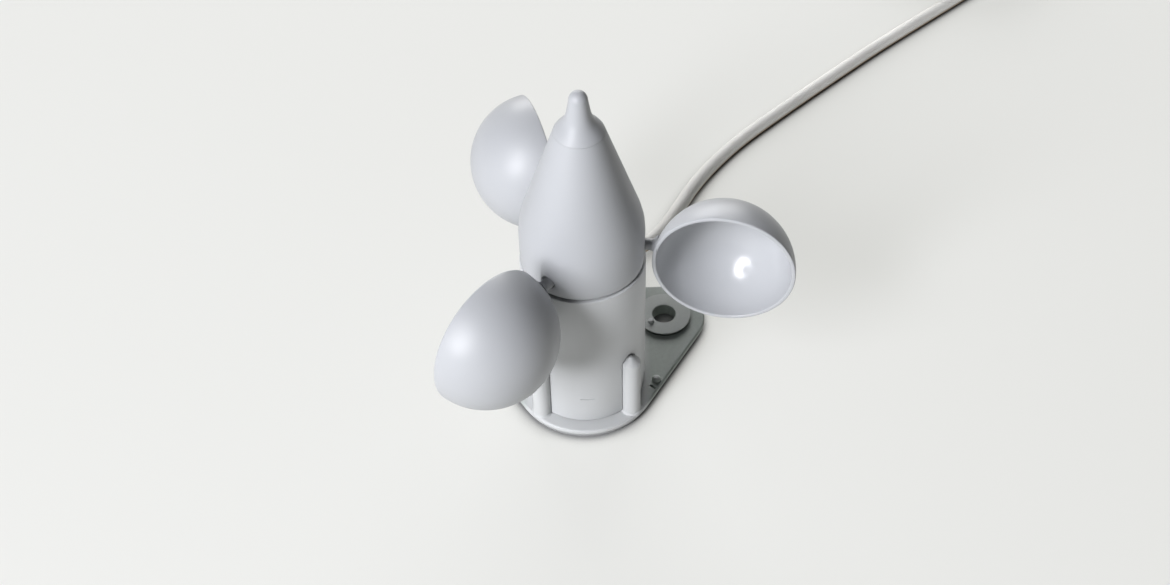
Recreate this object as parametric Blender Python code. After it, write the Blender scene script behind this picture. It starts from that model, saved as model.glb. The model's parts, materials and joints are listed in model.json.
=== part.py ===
"""A small cup anemometer: base plate, housing, cup rotor on ball bearings, reed switch and signal cable.

The driving dimensions are in millimetres. Each mesh is scaled to metres when its object is made.
The rotor's axis is the Z axis and the base plate stands on the plane z = 0. The front is at -Y.
"""

import math

import bmesh
import bpy
from mathutils import Matrix, Vector

MM = 0.001
GAP = 0.3

# Base plate: a rounded triangle around the rotor's axis and two screw lugs behind it.
PLATE_THICKNESS = 4.0
PLATE_EDGE = 0.35
FRONT_RADIUS = 24.4
LUG_X = 28.0
LUG_Y = 25.5
LUG_RADIUS = 14.3
LUG_BOSS_RADIUS = 9.4
LUG_BOSS_TOP = 5.2
LUG_HOLE_RADIUS = 4.0
PIP_FROM_HOLE = (-4.7, -3.4)
POST_RADIUS = 3.1
POST_CIRCLE = 21.0
POST_SHOULDER = 28.7
POST_TIP = 30.6
SPIGOT_RADIUS = 15.6
SPIGOT_BORE = 13.6
SPIGOT_TOP = 7.4
SEAL_GROOVE_RADIUS = 14.3
SEAL_GROOVE = (4.9, 6.7)
BASE_SCREW_CIRCLE = 18.0
BASE_SCREW_ANGLES = (0.0, 180.0, 270.0)
PIP_RADIUS = 1.1
PIP_TOP = 6.0
PEG_PLACE = (23.9, -3.1)
PEG_RADIUS = 1.25
PEG_TOP = 6.2
SLOT_PLACE = (22.5, -6.3)

# Housing: tube, deck and bearing tower in one moulding.
HOUSING_RADIUS = 20.0
HOUSING_BORE = 16.0
HOUSING_BOTTOM = PLATE_THICKNESS + GAP
HOUSING_TOP = 63.3
DECK_UNDERSIDE = 59.0
TOWER_RADIUS = 8.8
TOWER_TOP = 98.0
BEARING_BORE = 6.8
SHELF_BORE = 5.2
SHELF_TOP = 65.5
FLUTE_RADIUS = 3.6
FLUTE_SHOULDER = 29.3
FLUTE_TIP = 32.2
STANDOFF_X = 10.5
STANDOFF_RADIUS = 3.0
BOARD_BOTTOM = 44.0
BOARD_TOP = 45.6
BOARD_RADIUS = 14.5
CABLE_HEIGHT = 13.0
OUTLET_BOSS_RADIUS = 7.0
OUTLET_FACE = 21.5

# Shaft line.
SHAFT_RADIUS = 2.0
SHAFT_BOTTOM = 49.0
SHAFT_TOP = 114.5
RING_BORE = SHAFT_RADIUS + GAP
INNER_RING_RADIUS = 3.3
OUTER_RING_BORE = 5.4
OUTER_RING_RADIUS = 6.5
BALL_CIRCLE = 4.35
BALL_RADIUS = 0.75
BALL_COUNT = 7
BEARING_WIDTH = 5.0
LOWER_BEARING = 65.8
UPPER_BEARING = 91.8
REED_Y = 4.6
REED_HEIGHT = 47.4
REED_LEAD_X = 8.2

# Rotor: skirt, cone and nose cap.
ROTOR_BOTTOM = 64.1
SKIRT_RADIUS = 19.7
SKIRT_LIP_RADIUS = 19.5
CONE_START = (18.85, 82.0)
CONE_END = (7.75, 116.4)
SKIRT_BLEND_RADIUS = 24.0
ROTOR_WALL = 2.0
ROTOR_CEILING = 103.5
ROTOR_DECK = 108.0
NUT_RECESS_RADIUS = 6.2
SLEEVE_BOTTOM = UPPER_BEARING + BEARING_WIDTH + GAP
SLEEVE_RADIUS = 3.6
NIPPLE_RADIUS = 2.85
NOSE_SIDE = ((7.7, 116.7), (7.1, 118.0), (5.7, 119.6), (4.5, 121.0), (3.8, 122.9), (3.4, 125.0))
NOSE_TOP = 131.3
NOSE_TIP_RADIUS = 2.3

# Cups, counted anticlockwise from above.
CUP_RADIUS = 22.5
CUP_WALL = 1.25
CUP_CIRCLE = 44.5
CUP_HEIGHT = 64.7
CUP_ANGLES = (-12.0, 108.0, 228.0)
STEM_RADIUS = 1.85
STEM_ABOVE_CENTRE = 4.5
STEM_BEHIND_RIM = 3.0
STEM_INNER_END = 12.3
SOCKET_RADIUS = 3.5
SOCKET_START = 11.2
CUP_SCREW_CIRCLE = 14.6
CUP_SCREW_BOTTOM = 64.9

# Signal cable, laid on the plane that the base stands on and wound up at its far end.
CABLE_RADIUS = 2.6
CABLE_ROUTE = (
    (0.0, 9.0, 13.0),
    (0.0, 16.0, 13.0),
    (0.0, 23.0, 13.0),
    (0.0, 29.5, 13.0),
    (1.6, 35.8, 12.5),
    (6.0, 42.5, 11.0),
    (12.0, 49.0, 9.0),
    (18.4, 54.4, 7.2),
    (24.2, 59.6, 6.0),
    (28.9, 65.6, 5.0),
    (33.0, 72.6, 4.1),
    (37.4, 81.0, 3.3),
    (42.4, 90.4, 2.8),
    (50.4, 102.0, 2.7),
    (62.6, 116.0, 2.7),
    (79.5, 131.7, 2.7),
    (101.4, 151.0, 2.7),
    (124.2, 170.6, 2.7),
    (148.2, 189.8, 2.7),
    (160.4, 199.4, 2.8),
    (173.2, 209.4, 3.2),
)
COIL_CENTRE = (168.1, 254.5)
COIL_MIDDLE_RADIUS = 28.0
COIL_EDGE = 2.0
COIL_HALF_WIDTH = 13.4
COIL_BOTTOM = 0.9
COIL_TOP = 17.1
TAIL_HEIGHT = COIL_TOP + GAP + CABLE_RADIUS
TAIL_START_ANGLE = 20.0
TAIL_END_ANGLE = 160.0
TAIL_START_RADIUS = 21.0
TAIL_END_RADIUS = 28.0
TAIL_STEPS = 14
TIE_ANGLE = 270.0
TIE_HALF_WIDTH = 3.5
TIE_THICKNESS = 0.8
CORE_RADIUS = 0.8
CORE_START_ANGLE = TAIL_END_ANGLE + 1.6
CORE_END_ANGLE = 200.0
CORE_STEPS = 6
FERRULE_RADIUS = 1.2
FERRULE_LENGTH = 8.0


def material(name, colour, roughness, metallic=0.0):
    """A Principled BSDF material."""
    made = bpy.data.materials.new(name)
    made.use_nodes = True
    shader = made.node_tree.nodes["Principled BSDF"]
    shader.inputs["Base Color"].default_value = (*colour, 1.0)
    shader.inputs["Roughness"].default_value = roughness
    shader.inputs["Metallic"].default_value = metallic
    made.diffuse_color = (*colour, 1.0)
    return made


def turned(profile, sides):
    """A solid turned about Z from (radius, height) points. An axis-to-axis profile needs no closing edge."""
    mesh = bmesh.new()
    points = [mesh.verts.new((radius, 0.0, height)) for radius, height in profile]
    edges = [mesh.edges.new(pair) for pair in zip(points, points[1:])]
    if profile[0][0] > 0.0 or profile[-1][0] > 0.0:
        edges.append(mesh.edges.new((points[-1], points[0])))
    bmesh.ops.spin(
        mesh,
        geom=points + edges,
        cent=(0.0, 0.0, 0.0),
        axis=(0.0, 0.0, 1.0),
        angle=2.0 * math.pi,
        steps=sides,
        use_merge=True,
    )
    bmesh.ops.remove_doubles(mesh, verts=mesh.verts, dist=0.001)
    bmesh.ops.recalc_face_normals(mesh, faces=mesh.faces)
    return mesh


def rod(radius, bottom, top, sides):
    """A plain cylinder along Z."""
    return turned([(0.0, bottom), (radius, bottom), (radius, top), (0.0, top)], sides)


def ring(inner, outer, bottom, top, sides):
    """A plain tube along Z."""
    return turned([(inner, bottom), (outer, bottom), (outer, top), (inner, top)], sides)


def block(low, high):
    """A box between two corners."""
    mesh = bmesh.new()
    bmesh.ops.create_cube(mesh, size=1.0)
    size = Vector(high) - Vector(low)
    bmesh.ops.scale(mesh, vec=size, verts=mesh.verts)
    bmesh.ops.translate(mesh, vec=(Vector(high) + Vector(low)) / 2.0, verts=mesh.verts)
    return mesh


def stacked(levels):
    """A solid through outlines of equal length, each given as (height, points)."""
    mesh = bmesh.new()
    rows = [[mesh.verts.new((x, y, height)) for x, y in points] for height, points in levels]
    for lower, upper in zip(rows, rows[1:]):
        for i in range(len(lower)):
            j = (i + 1) % len(lower)
            mesh.faces.new((lower[i], lower[j], upper[j], upper[i]))
    mesh.faces.new(rows[0][::-1])
    mesh.faces.new(rows[-1])
    bmesh.ops.recalc_face_normals(mesh, faces=mesh.faces)
    return mesh


def moved(mesh, *steps):
    """The mesh after each matrix in turn."""
    for step in steps:
        bmesh.ops.transform(mesh, matrix=step, verts=mesh.verts)
    return mesh


def shifted(x, y, z=0.0):
    """A translation."""
    return Matrix.Translation((x, y, z))


def turned_by(degrees, axis="Z"):
    """A rotation about an axis through the origin."""
    return Matrix.Rotation(math.radians(degrees), 4, axis)


def on_circle(radius, degrees):
    """The (x, y) point at an angle on a circle about the rotor's axis."""
    angle = math.radians(degrees)
    return radius * math.cos(angle), radius * math.sin(angle)


def together(meshes):
    """One mesh that holds several that lie apart."""
    joined = bmesh.new()
    for mesh in meshes:
        stored = bpy.data.meshes.new("step")
        mesh.to_mesh(stored)
        mesh.free()
        joined.from_mesh(stored)
        bpy.data.meshes.remove(stored)
    return joined


def piece(name, mesh, look, parent=None, place=()):
    """An object in metres from a mesh in millimetres, placed by matrices in turn."""
    bmesh.ops.scale(mesh, vec=(MM, MM, MM), verts=mesh.verts)
    stored = bpy.data.meshes.new(name)
    mesh.to_mesh(stored)
    mesh.free()
    made = bpy.data.objects.new(name, stored)
    bpy.context.scene.collection.objects.link(made)
    made.parent = parent
    placing = Matrix()
    for step in place:
        placing = step @ placing
    placing.translation *= MM
    made.matrix_local = placing
    if look:
        stored.materials.append(look)
        stored.shade_smooth()
        stored.set_sharp_from_angle(angle=math.radians(30.0))
    return made


def combine(target, operation, meshes):
    """Joins meshes to the target, or cuts them from it, with one Boolean."""
    tool = piece(f"{target.name}_{operation.lower()}_tool", together(meshes), None)
    tool.hide_render = True
    tool.display_type = "WIRE"
    step = target.modifiers.new(operation.lower(), "BOOLEAN")
    step.operation = operation
    step.solver = "EXACT"
    step.object = tool


def smooth_route(route, spacing):
    """Points a set distance apart on the smooth curve through the route."""
    places = [Vector(point) for point in route]
    ends = [2.0 * places[0] - places[1], *places, 2.0 * places[-1] - places[-2]]
    fine = []
    for before, start, end, after in zip(ends, ends[1:], ends[2:], ends[3:]):
        for step in range(20):
            t = step / 20.0
            fine.append(
                0.5
                * (
                    2.0 * start
                    + (end - before) * t
                    + (2.0 * before - 5.0 * start + 4.0 * end - after) * t**2
                    + (3.0 * start - before - 3.0 * end + after) * t**3
                )
            )
    fine.append(places[-1])
    lengths = [0.0]
    for start, end in zip(fine, fine[1:]):
        lengths.append(lengths[-1] + (end - start).length)
    count = max(2, round(lengths[-1] / spacing))
    picked = []
    at = 0
    for number in range(count + 1):
        target = lengths[-1] * number / count
        while at < len(fine) - 2 and lengths[at + 1] < target:
            at += 1
        share = (target - lengths[at]) / (lengths[at + 1] - lengths[at])
        picked.append(fine[at].lerp(fine[at + 1], share))
    return picked


def tube(name, points, radius, look, resolution=2, parent=None):
    """A round cord through points in millimetres, as a curve with filled caps."""
    curve = bpy.data.curves.new(name, "CURVE")
    curve.dimensions = "3D"
    spline = curve.splines.new("POLY")
    spline.points.add(len(points) - 1)
    for held, point in zip(spline.points, points):
        held.co = (*(Vector(point) * MM), 1.0)
    curve.bevel_depth = radius * MM
    curve.bevel_resolution = resolution
    curve.use_fill_caps = True
    curve.materials.append(look)
    made = bpy.data.objects.new(name, curve)
    bpy.context.scene.collection.objects.link(made)
    made.parent = parent
    return made


def rounded_triangle(inset):
    """The base plate's outline: three arcs joined by their common tangents."""
    front = FRONT_RADIUS - inset
    lug = LUG_RADIUS - inset
    reach = math.hypot(LUG_X, LUG_Y)
    side = math.atan2(LUG_Y, LUG_X) - math.acos((front - lug) / reach)
    arcs = (
        ((0.0, 0.0), front, -math.pi - side, side, 14),
        ((LUG_X, LUG_Y), lug, side, math.pi / 2.0, 10),
        ((-LUG_X, LUG_Y), lug, math.pi / 2.0, math.pi - side, 10),
    )
    outline = []
    for (x, y), radius, start, end, steps in arcs:
        for step in range(steps + 1):
            angle = start + (end - start) * step / steps
            outline.append((x + radius * math.cos(angle), y + radius * math.sin(angle)))
    return outline


def screw(length, shank, head_radius, head_height, slot=0.8):
    """A slotted screw pointing up, its head's outer face at z = 0."""
    made = turned(
        [
            (0.0, 0.0),
            (head_radius - 0.3, 0.0),
            (head_radius, 0.4),
            (head_radius, head_height),
            (shank, head_height),
            (shank, length - shank),
            (0.0, length),
        ],
        16,
    )
    reach = head_radius + 1.0
    return made, block((-reach, -slot / 2.0, -1.0), (reach, slot / 2.0, head_height / 2.0))


def place_screw(name, look, place, sizes):
    """A slotted screw, its head's face at a place."""
    body, slot = screw(*sizes)
    made = piece(name, body, look, place=(place,))
    combine(made, "DIFFERENCE", [moved(slot, place)])


def make_base(look):
    """The base plate with its posts, screw bosses, spigot and location pegs."""
    levels = (
        (0.0, PLATE_EDGE),
        (PLATE_EDGE, 0.0),
        (PLATE_THICKNESS - PLATE_EDGE, 0.0),
        (PLATE_THICKNESS, PLATE_EDGE),
    )
    base = piece("base_plate", stacked([(z, rounded_triangle(inset)) for z, inset in levels]), look)
    sunk = PLATE_THICKNESS - 1.0
    post = [(0.0, sunk), (POST_RADIUS, sunk), (POST_RADIUS, POST_SHOULDER), (0.0, POST_TIP)]
    posts = [moved(turned(post, 12), shifted(*on_circle(POST_CIRCLE, a))) for a in (45, 135, 225, 315)]
    boss = [
        (0.0, sunk),
        (LUG_BOSS_RADIUS, sunk),
        (LUG_BOSS_RADIUS, LUG_BOSS_TOP - 0.4),
        (LUG_BOSS_RADIUS - 0.4, LUG_BOSS_TOP),
        (0.0, LUG_BOSS_TOP),
    ]
    bosses = [moved(turned(boss, 24), shifted(side * LUG_X, LUG_Y)) for side in (-1, 1)]
    spigot = turned(
        [
            (SPIGOT_BORE, sunk),
            (SPIGOT_RADIUS, sunk),
            (SPIGOT_RADIUS, SEAL_GROOVE[0]),
            (SEAL_GROOVE_RADIUS, SEAL_GROOVE[0]),
            (SEAL_GROOVE_RADIUS, SEAL_GROOVE[1]),
            (SPIGOT_RADIUS, SEAL_GROOVE[1]),
            (SPIGOT_RADIUS, SPIGOT_TOP),
            (SPIGOT_BORE, SPIGOT_TOP),
        ],
        28,
    )
    combine(base, "UNION", posts + bosses + [spigot])
    pips = []
    for side in (-1, 1):
        sides = [(0.0, sunk + 1.5), (PIP_RADIUS, sunk + 1.5), (PIP_RADIUS, PIP_TOP - 0.4)]
        pip = turned([*sides, (PIP_RADIUS - 0.4, PIP_TOP), (0.0, PIP_TOP)], 10)
        pips.append(moved(pip, shifted(side * (LUG_X + PIP_FROM_HOLE[0]), LUG_Y + PIP_FROM_HOLE[1])))
        sides = [(0.0, sunk), (PEG_RADIUS, sunk), (PEG_RADIUS, PEG_TOP - 0.4)]
        peg = turned([*sides, (PEG_RADIUS - 0.4, PEG_TOP), (0.0, PEG_TOP)], 10)
        pips.append(moved(peg, shifted(side * PEG_PLACE[0], PEG_PLACE[1])))
    combine(base, "UNION", pips)
    cuts = [moved(rod(LUG_HOLE_RADIUS, -2.0, 9.0, 20), shifted(side * LUG_X, LUG_Y)) for side in (-1, 1)]
    sunk_hole = [(0.0, -2.0), (3.0, -2.0), (3.0, 2.4), (1.6, 2.4), (1.6, 6.0), (0.0, 6.0)]
    for angle in BASE_SCREW_ANGLES:
        cuts.append(moved(turned(sunk_hole, 14), shifted(*on_circle(BASE_SCREW_CIRCLE, angle))))
    for side in (-1, 1):
        slot = block((-1.3, -0.4, PLATE_THICKNESS - 1.5), (1.3, 0.4, PLATE_THICKNESS + 1.0))
        cuts.append(moved(slot, turned_by(-40.0 * side), shifted(side * SLOT_PLACE[0], SLOT_PLACE[1])))
    combine(base, "DIFFERENCE", cuts)


def make_seal(look):
    """The ring that seals the housing's bore on the base's spigot."""
    middle = (SEAL_GROOVE[0] + SEAL_GROOVE[1]) / 2.0
    section = [
        (15.15 + 0.55 * math.cos(math.radians(a)), middle + 0.55 * math.sin(math.radians(a)))
        for a in range(0, 360, 60)
    ]
    piece("base_seal", turned(section, 28), look)


def make_housing(look):
    """The housing tube, its deck and the tower that holds both bearings."""
    profile = [
        (HOUSING_BORE, HOUSING_BOTTOM),
        (HOUSING_RADIUS, HOUSING_BOTTOM),
        (HOUSING_RADIUS, HOUSING_TOP - 0.4),
        (HOUSING_RADIUS - 0.4, HOUSING_TOP),
        (TOWER_RADIUS + 1.0, HOUSING_TOP),
        (TOWER_RADIUS, HOUSING_TOP + 1.0),
        (TOWER_RADIUS, TOWER_TOP - 0.5),
        (TOWER_RADIUS - 0.5, TOWER_TOP),
        (BEARING_BORE, TOWER_TOP),
        (BEARING_BORE, SHELF_TOP),
        (SHELF_BORE, SHELF_TOP),
        (SHELF_BORE, DECK_UNDERSIDE),
        (HOUSING_BORE, DECK_UNDERSIDE),
    ]
    housing = piece("housing", turned(profile, 36), look)
    outlet = moved(
        rod(OUTLET_BOSS_RADIUS, 17.0, OUTLET_FACE, 20),
        turned_by(-90.0, "X"),
        shifted(0.0, 0.0, CABLE_HEIGHT),
    )
    standoffs = []
    for side in (-1, 1):
        standoff = rod(STANDOFF_RADIUS, BOARD_TOP + GAP, DECK_UNDERSIDE + 1.0, 12)
        standoffs.append(moved(standoff, shifted(side * STANDOFF_X, 0.0)))
    combine(housing, "UNION", [outlet, *standoffs])
    flute = [(0.0, 2.0), (FLUTE_RADIUS, 2.0), (FLUTE_RADIUS, FLUTE_SHOULDER), (0.0, FLUTE_TIP)]
    cuts = [moved(turned(flute, 16), shifted(*on_circle(POST_CIRCLE, a))) for a in (45, 135, 225, 315)]
    for angle in BASE_SCREW_ANGLES:
        cuts.append(moved(rod(1.6, 2.0, 15.0, 10), shifted(*on_circle(BASE_SCREW_CIRCLE, angle))))
    for side in (-1, 1):
        cuts.append(moved(rod(1.4, 44.0, 53.0, 10), shifted(side * STANDOFF_X, 0.0)))
    cuts.append(moved(rod(4.5, 12.0, 25.0, 20), turned_by(-90.0, "X"), shifted(0.0, 0.0, CABLE_HEIGHT)))
    combine(housing, "DIFFERENCE", cuts)


def make_outlet(rubber, nylon, brown, white):
    """The cable's grommet with its tapered nose, and what holds and carries the cable inside the housing."""
    profile = [
        (2.9, 12.9),
        (5.6, 12.9),
        (5.6, 14.6),
        (4.2, 14.6),
        (4.2, OUTLET_FACE + GAP),
        (5.6, OUTLET_FACE + GAP),
        (5.6, OUTLET_FACE + 1.8),
        (4.6, OUTLET_FACE + 2.3),
        (3.6, 28.5),
        (2.9, 28.5),
    ]
    upright = turned_by(-90.0, "X")
    raised = shifted(0.0, 0.0, CABLE_HEIGHT)
    piece("cable_grommet", turned(profile, 20), rubber, place=(upright, raised))
    tie = piece("inner_cable_tie", ring(2.9, 3.8, 10.2, 12.4, 16), nylon, place=(upright, raised))
    combine(tie, "UNION", [block((-1.6, 10.0, CABLE_HEIGHT + 3.2), (1.6, 12.6, CABLE_HEIGHT + 6.0))])
    for name, look, side in (("inner_wire_brown", brown, -1), ("inner_wire_white", white, 1)):
        route = (
            (side * 1.1, 8.6, 13.0),
            (side * 1.3, 5.6, 14.4),
            (side * 1.7, 3.6, 19.0),
            (side * 2.2, 3.4, 26.0),
            (side * 2.6, 2.8, 33.0),
            (side * 2.6, 1.0, 37.6),
            (side * 2.6, -1.6, 38.6),
            (side * 2.6, -4.0, 38.6),
        )
        tube(name, smooth_route(route, 2.0), 0.7, look)


def make_board(laminate, steel, glass, green):
    """The circuit board with its screws, reed switch and terminal block."""
    board = piece("circuit_board", rod(BOARD_RADIUS, BOARD_BOTTOM, BOARD_TOP, 28), laminate)
    holes = [moved(rod(1.5, 40.0, 50.0, 12), shifted(side * STANDOFF_X, 0.0)) for side in (-1, 1)]
    holes += [moved(rod(0.65, 40.0, 50.0, 8), shifted(side * REED_LEAD_X, REED_Y)) for side in (-1, 1)]
    combine(board, "DIFFERENCE", holes)
    for number, side in ((1, -1), (2, 1)):
        where = shifted(side * STANDOFF_X, 0.0, 42.0)
        place_screw(f"board_screw_{number}", steel, where, (10.0, 1.1, 2.3, 1.7))
    sideways = turned_by(90.0, "Y")
    raised = shifted(0.0, REED_Y, REED_HEIGHT)
    capsule = [(0.0, -6.0), (0.8, -5.7), (1.1, -5.0), (1.1, 5.0), (0.8, 5.7), (0.0, 6.0)]
    reed = piece("reed_switch", turned(capsule, 12), glass, place=(sideways, raised))
    leads = [moved(rod(0.3, -REED_LEAD_X - 0.3, REED_LEAD_X + 0.3, 8), sideways, raised)]
    combine(reed, "UNION", leads)
    legs = []
    for side in (-1, 1):
        legs.append(moved(rod(0.3, 42.8, REED_HEIGHT + 0.1, 8), shifted(side * REED_LEAD_X, REED_Y)))
    combine(reed, "UNION", legs)
    terminal = piece("terminal_block", block((-5.2, -9.5, 35.7), (5.2, -2.5, BOARD_BOTTOM - GAP)), green)
    cuts = []
    for number, side in ((1, -1), (2, 1)):
        entry = moved(rod(1.1, 0.0, 5.5, 10), turned_by(-90.0, "X"), shifted(side * 2.6, -6.0, 38.6))
        cuts.append(entry)
        cuts.append(moved(rod(1.8, 34.0, 37.3, 14), shifted(side * 2.6, -6.8)))
        where = shifted(side * 2.6, -6.8, 35.4)
        place_screw(f"terminal_screw_{number}", steel, where, (1.6, 0.9, 1.5, 1.2, 0.5))
    combine(terminal, "DIFFERENCE", cuts)


def make_shaft_line(steel, brass, magnet, nylon, rotor):
    """The shaft, what turns with it, and the pieces that hold the bearings in the tower."""
    ends = 0.4
    shaft = [
        (0.0, SHAFT_BOTTOM),
        (SHAFT_RADIUS - ends, SHAFT_BOTTOM),
        (SHAFT_RADIUS, SHAFT_BOTTOM + ends),
        (SHAFT_RADIUS, SHAFT_TOP - ends),
        (SHAFT_RADIUS - ends, SHAFT_TOP),
        (0.0, SHAFT_TOP),
    ]
    piece("shaft", turned(shaft, 20), steel, rotor)
    for place, height in (("lower", LOWER_BEARING), ("upper", UPPER_BEARING)):
        top = height + BEARING_WIDTH
        inner = ring(RING_BORE, INNER_RING_RADIUS, height, top, 16)
        piece(f"{place}_bearing_inner_ring", inner, steel, rotor)
        outer = ring(OUTER_RING_BORE, OUTER_RING_RADIUS, height, top, 20)
        piece(f"{place}_bearing_outer_ring", outer, steel)
        middle = height + BEARING_WIDTH / 2.0
        cage = ring(BALL_CIRCLE - 0.3, BALL_CIRCLE + 0.3, middle - 0.35, middle + 0.35, 14)
        balls = piece(f"{place}_bearing_balls", cage, brass)
        spheres = []
        for number in range(BALL_COUNT):
            sphere = bmesh.new()
            bmesh.ops.create_icosphere(sphere, subdivisions=1, radius=BALL_RADIUS)
            x, y = on_circle(BALL_CIRCLE, 360.0 * number / BALL_COUNT)
            spheres.append(moved(sphere, shifted(x, y, middle)))
        combine(balls, "UNION", spheres)
    low = LOWER_BEARING + BEARING_WIDTH + GAP
    high = UPPER_BEARING - GAP
    piece("outer_spacer", ring(5.6, OUTER_RING_RADIUS, low, high, 20), steel)
    piece("inner_spacer", ring(RING_BORE, 3.2, low, high, 16), steel, rotor)
    clip = piece("shaft_clip", ring(RING_BORE, 4.2, 64.7, SHELF_TOP, 16), steel, rotor)
    combine(clip, "DIFFERENCE", [block((0.0, -1.2, 64.0), (6.0, 1.2, 66.0))])
    retainer = piece("retaining_ring", ring(5.5, OUTER_RING_RADIUS, 97.1, 97.8, 20), steel)
    combine(retainer, "DIFFERENCE", [block((0.0, -1.5, 96.5), (8.0, 1.5, 98.5))])
    hub = [(RING_BORE, 50.2), (7.0, 50.2), (7.0, 54.4), (4.4, 54.8), (4.4, 57.8), (RING_BORE, 57.8)]
    holder = piece("magnet_holder", turned(hub, 20), nylon, rotor)
    pocket = moved(rod(1.8, 49.0, 53.5, 14), shifted(REED_Y, 0.0))
    screw_hole = moved(rod(1.1, 1.0, 6.0, 12), turned_by(-90.0, "Y"), shifted(0.0, 0.0, 56.3))
    combine(holder, "DIFFERENCE", [pocket, screw_hole])
    piece("magnet", rod(1.5, 50.4, 53.2, 14), magnet, rotor, (shifted(REED_Y, 0.0),))
    inwards = (turned_by(90.0, "Y"), shifted(-4.6, 0.0, 56.3))
    piece("holder_screw", rod(0.8, 0.0, 2.2, 10), steel, rotor, inwards)


def rotor_side(inset):
    """(radius, height) points up the rotor's side, from the lip to the seam under the nose cap."""
    slope = (CONE_START[0] - CONE_END[0]) / (CONE_END[1] - CONE_START[1])
    tilt = math.atan(slope)
    corner = CONE_START[1] - (SKIRT_RADIUS - CONE_START[0]) / slope
    reach = SKIRT_BLEND_RADIUS * math.tan(tilt / 2.0)
    steps = 3
    points = [(SKIRT_LIP_RADIUS, ROTOR_BOTTOM), (SKIRT_RADIUS, ROTOR_BOTTOM + 3.0)]
    for step in range(steps + 1):
        angle = tilt * step / steps
        radius = SKIRT_RADIUS - SKIRT_BLEND_RADIUS * (1.0 - math.cos(angle))
        points.append((radius, corner - reach + SKIRT_BLEND_RADIUS * math.sin(angle)))
    points.append(CONE_END)
    return [(radius - inset, height) for radius, height in points]


def make_rotor_shell(look, rotor):
    """The rotor's skirt and cone with its deck, shaft sleeve and three stem sockets."""
    outside = rotor_side(0.0)
    inside = [point for point in rotor_side(ROTOR_WALL) if point[1] < ROTOR_CEILING]
    slope = (CONE_START[0] - CONE_END[0]) / (CONE_END[1] - CONE_START[1])
    ceiling = CONE_START[0] - slope * (ROTOR_CEILING - CONE_START[1]) - ROTOR_WALL
    profile = outside + [
        (NUT_RECESS_RADIUS, CONE_END[1]),
        (NUT_RECESS_RADIUS, ROTOR_DECK),
        (RING_BORE, ROTOR_DECK),
        (RING_BORE, SLEEVE_BOTTOM),
        (SLEEVE_RADIUS, SLEEVE_BOTTOM),
        (SLEEVE_RADIUS, ROTOR_CEILING),
        (ceiling, ROTOR_CEILING),
    ]
    profile += inside[::-1]
    shell = piece("rotor_shell", turned(profile, 36), look, rotor)
    height = CUP_HEIGHT + STEM_ABOVE_CENTRE
    sockets = []
    stem_holes = []
    screw_holes = []
    for angle in CUP_ANGLES:
        outwards = (turned_by(90.0, "Y"), shifted(0.0, STEM_BEHIND_RIM, height), turned_by(angle))
        sockets.append(moved(rod(SOCKET_RADIUS, SOCKET_START, SKIRT_RADIUS - 1.2, 12), *outwards))
        stem_holes.append(moved(rod(STEM_RADIUS + GAP, SOCKET_START - 1.0, 22.0, 12), *outwards))
        below = (shifted(CUP_SCREW_CIRCLE, STEM_BEHIND_RIM), turned_by(angle))
        screw_holes.append(moved(rod(1.1, 60.0, height - 1.0, 10), *below))
    combine(shell, "UNION", sockets)
    combine(shell, "DIFFERENCE", stem_holes)
    combine(shell, "DIFFERENCE", screw_holes)


def make_nose(look, steel, rotor):
    """The nose cap, and the nut and washer that it covers."""
    seam = NOSE_SIDE[0][1]
    outside = list(NOSE_SIDE)
    for step in range(4):
        angle = math.pi / 2.0 * step / 3.0
        radius = NIPPLE_RADIUS - NOSE_TIP_RADIUS * (1.0 - math.cos(angle))
        outside.append((radius, NOSE_TOP - NOSE_TIP_RADIUS * (1.0 - math.sin(angle))))
    inside = [(0.0, 121.5), (3.4, 119.5), (4.9, 117.0), (4.9, 111.0), (5.9, 111.0), (5.9, seam)]
    profile = [(0.0, NOSE_TOP), *outside[::-1], *inside[::-1]]
    piece("nose_cap", turned(profile, 24), look, rotor)
    washer = ring(RING_BORE, 4.7, ROTOR_DECK + GAP, ROTOR_DECK + GAP + 0.6, 20)
    piece("shaft_washer", washer, steel, rotor)
    nut_bottom = ROTOR_DECK + 2.0 * GAP + 0.6
    nut = piece("shaft_nut", rod(4.0, nut_bottom, nut_bottom + 3.2, 6), steel, rotor)
    combine(nut, "DIFFERENCE", [rod(RING_BORE, nut_bottom - 1.0, nut_bottom + 5.0, 20)])


def make_cups(look, steel, rotor):
    """The hemispherical cups moulded with their stems, and the screws that hold the stems in the sockets."""
    quarter = [math.pi / 2.0 * step / 7.0 for step in range(8)]
    inner = CUP_RADIUS - CUP_WALL
    solid = [(CUP_RADIUS * math.sin(a), CUP_RADIUS * math.cos(a)) for a in quarter] + [(0.0, 0.0)]
    hollow = [(inner * math.sin(a), inner * math.cos(a)) for a in quarter] + [(inner, -2.0), (0.0, -2.0)]
    height = CUP_HEIGHT + STEM_ABOVE_CENTRE
    for number, angle in enumerate(CUP_ANGLES, 1):
        facing = (turned_by(-90.0, "X"), shifted(CUP_CIRCLE, 0.0, CUP_HEIGHT), turned_by(angle))
        cup = piece(f"cup_{number}", turned(solid, 28), look, rotor, facing)
        outwards = (turned_by(90.0, "Y"), shifted(0.0, STEM_BEHIND_RIM, height), turned_by(angle))
        stem = moved(rod(STEM_RADIUS, STEM_INNER_END, CUP_CIRCLE - CUP_RADIUS + 3.5, 12), *outwards)
        combine(cup, "UNION", [stem])
        combine(cup, "DIFFERENCE", [moved(turned(hollow, 28), *facing)])
        below = (shifted(CUP_SCREW_CIRCLE, STEM_BEHIND_RIM, CUP_SCREW_BOTTOM), turned_by(angle))
        length = height - STEM_RADIUS - GAP - CUP_SCREW_BOTTOM
        piece(f"cup_set_screw_{number}", rod(0.8, 0.0, length, 10), steel, rotor, below)


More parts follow.
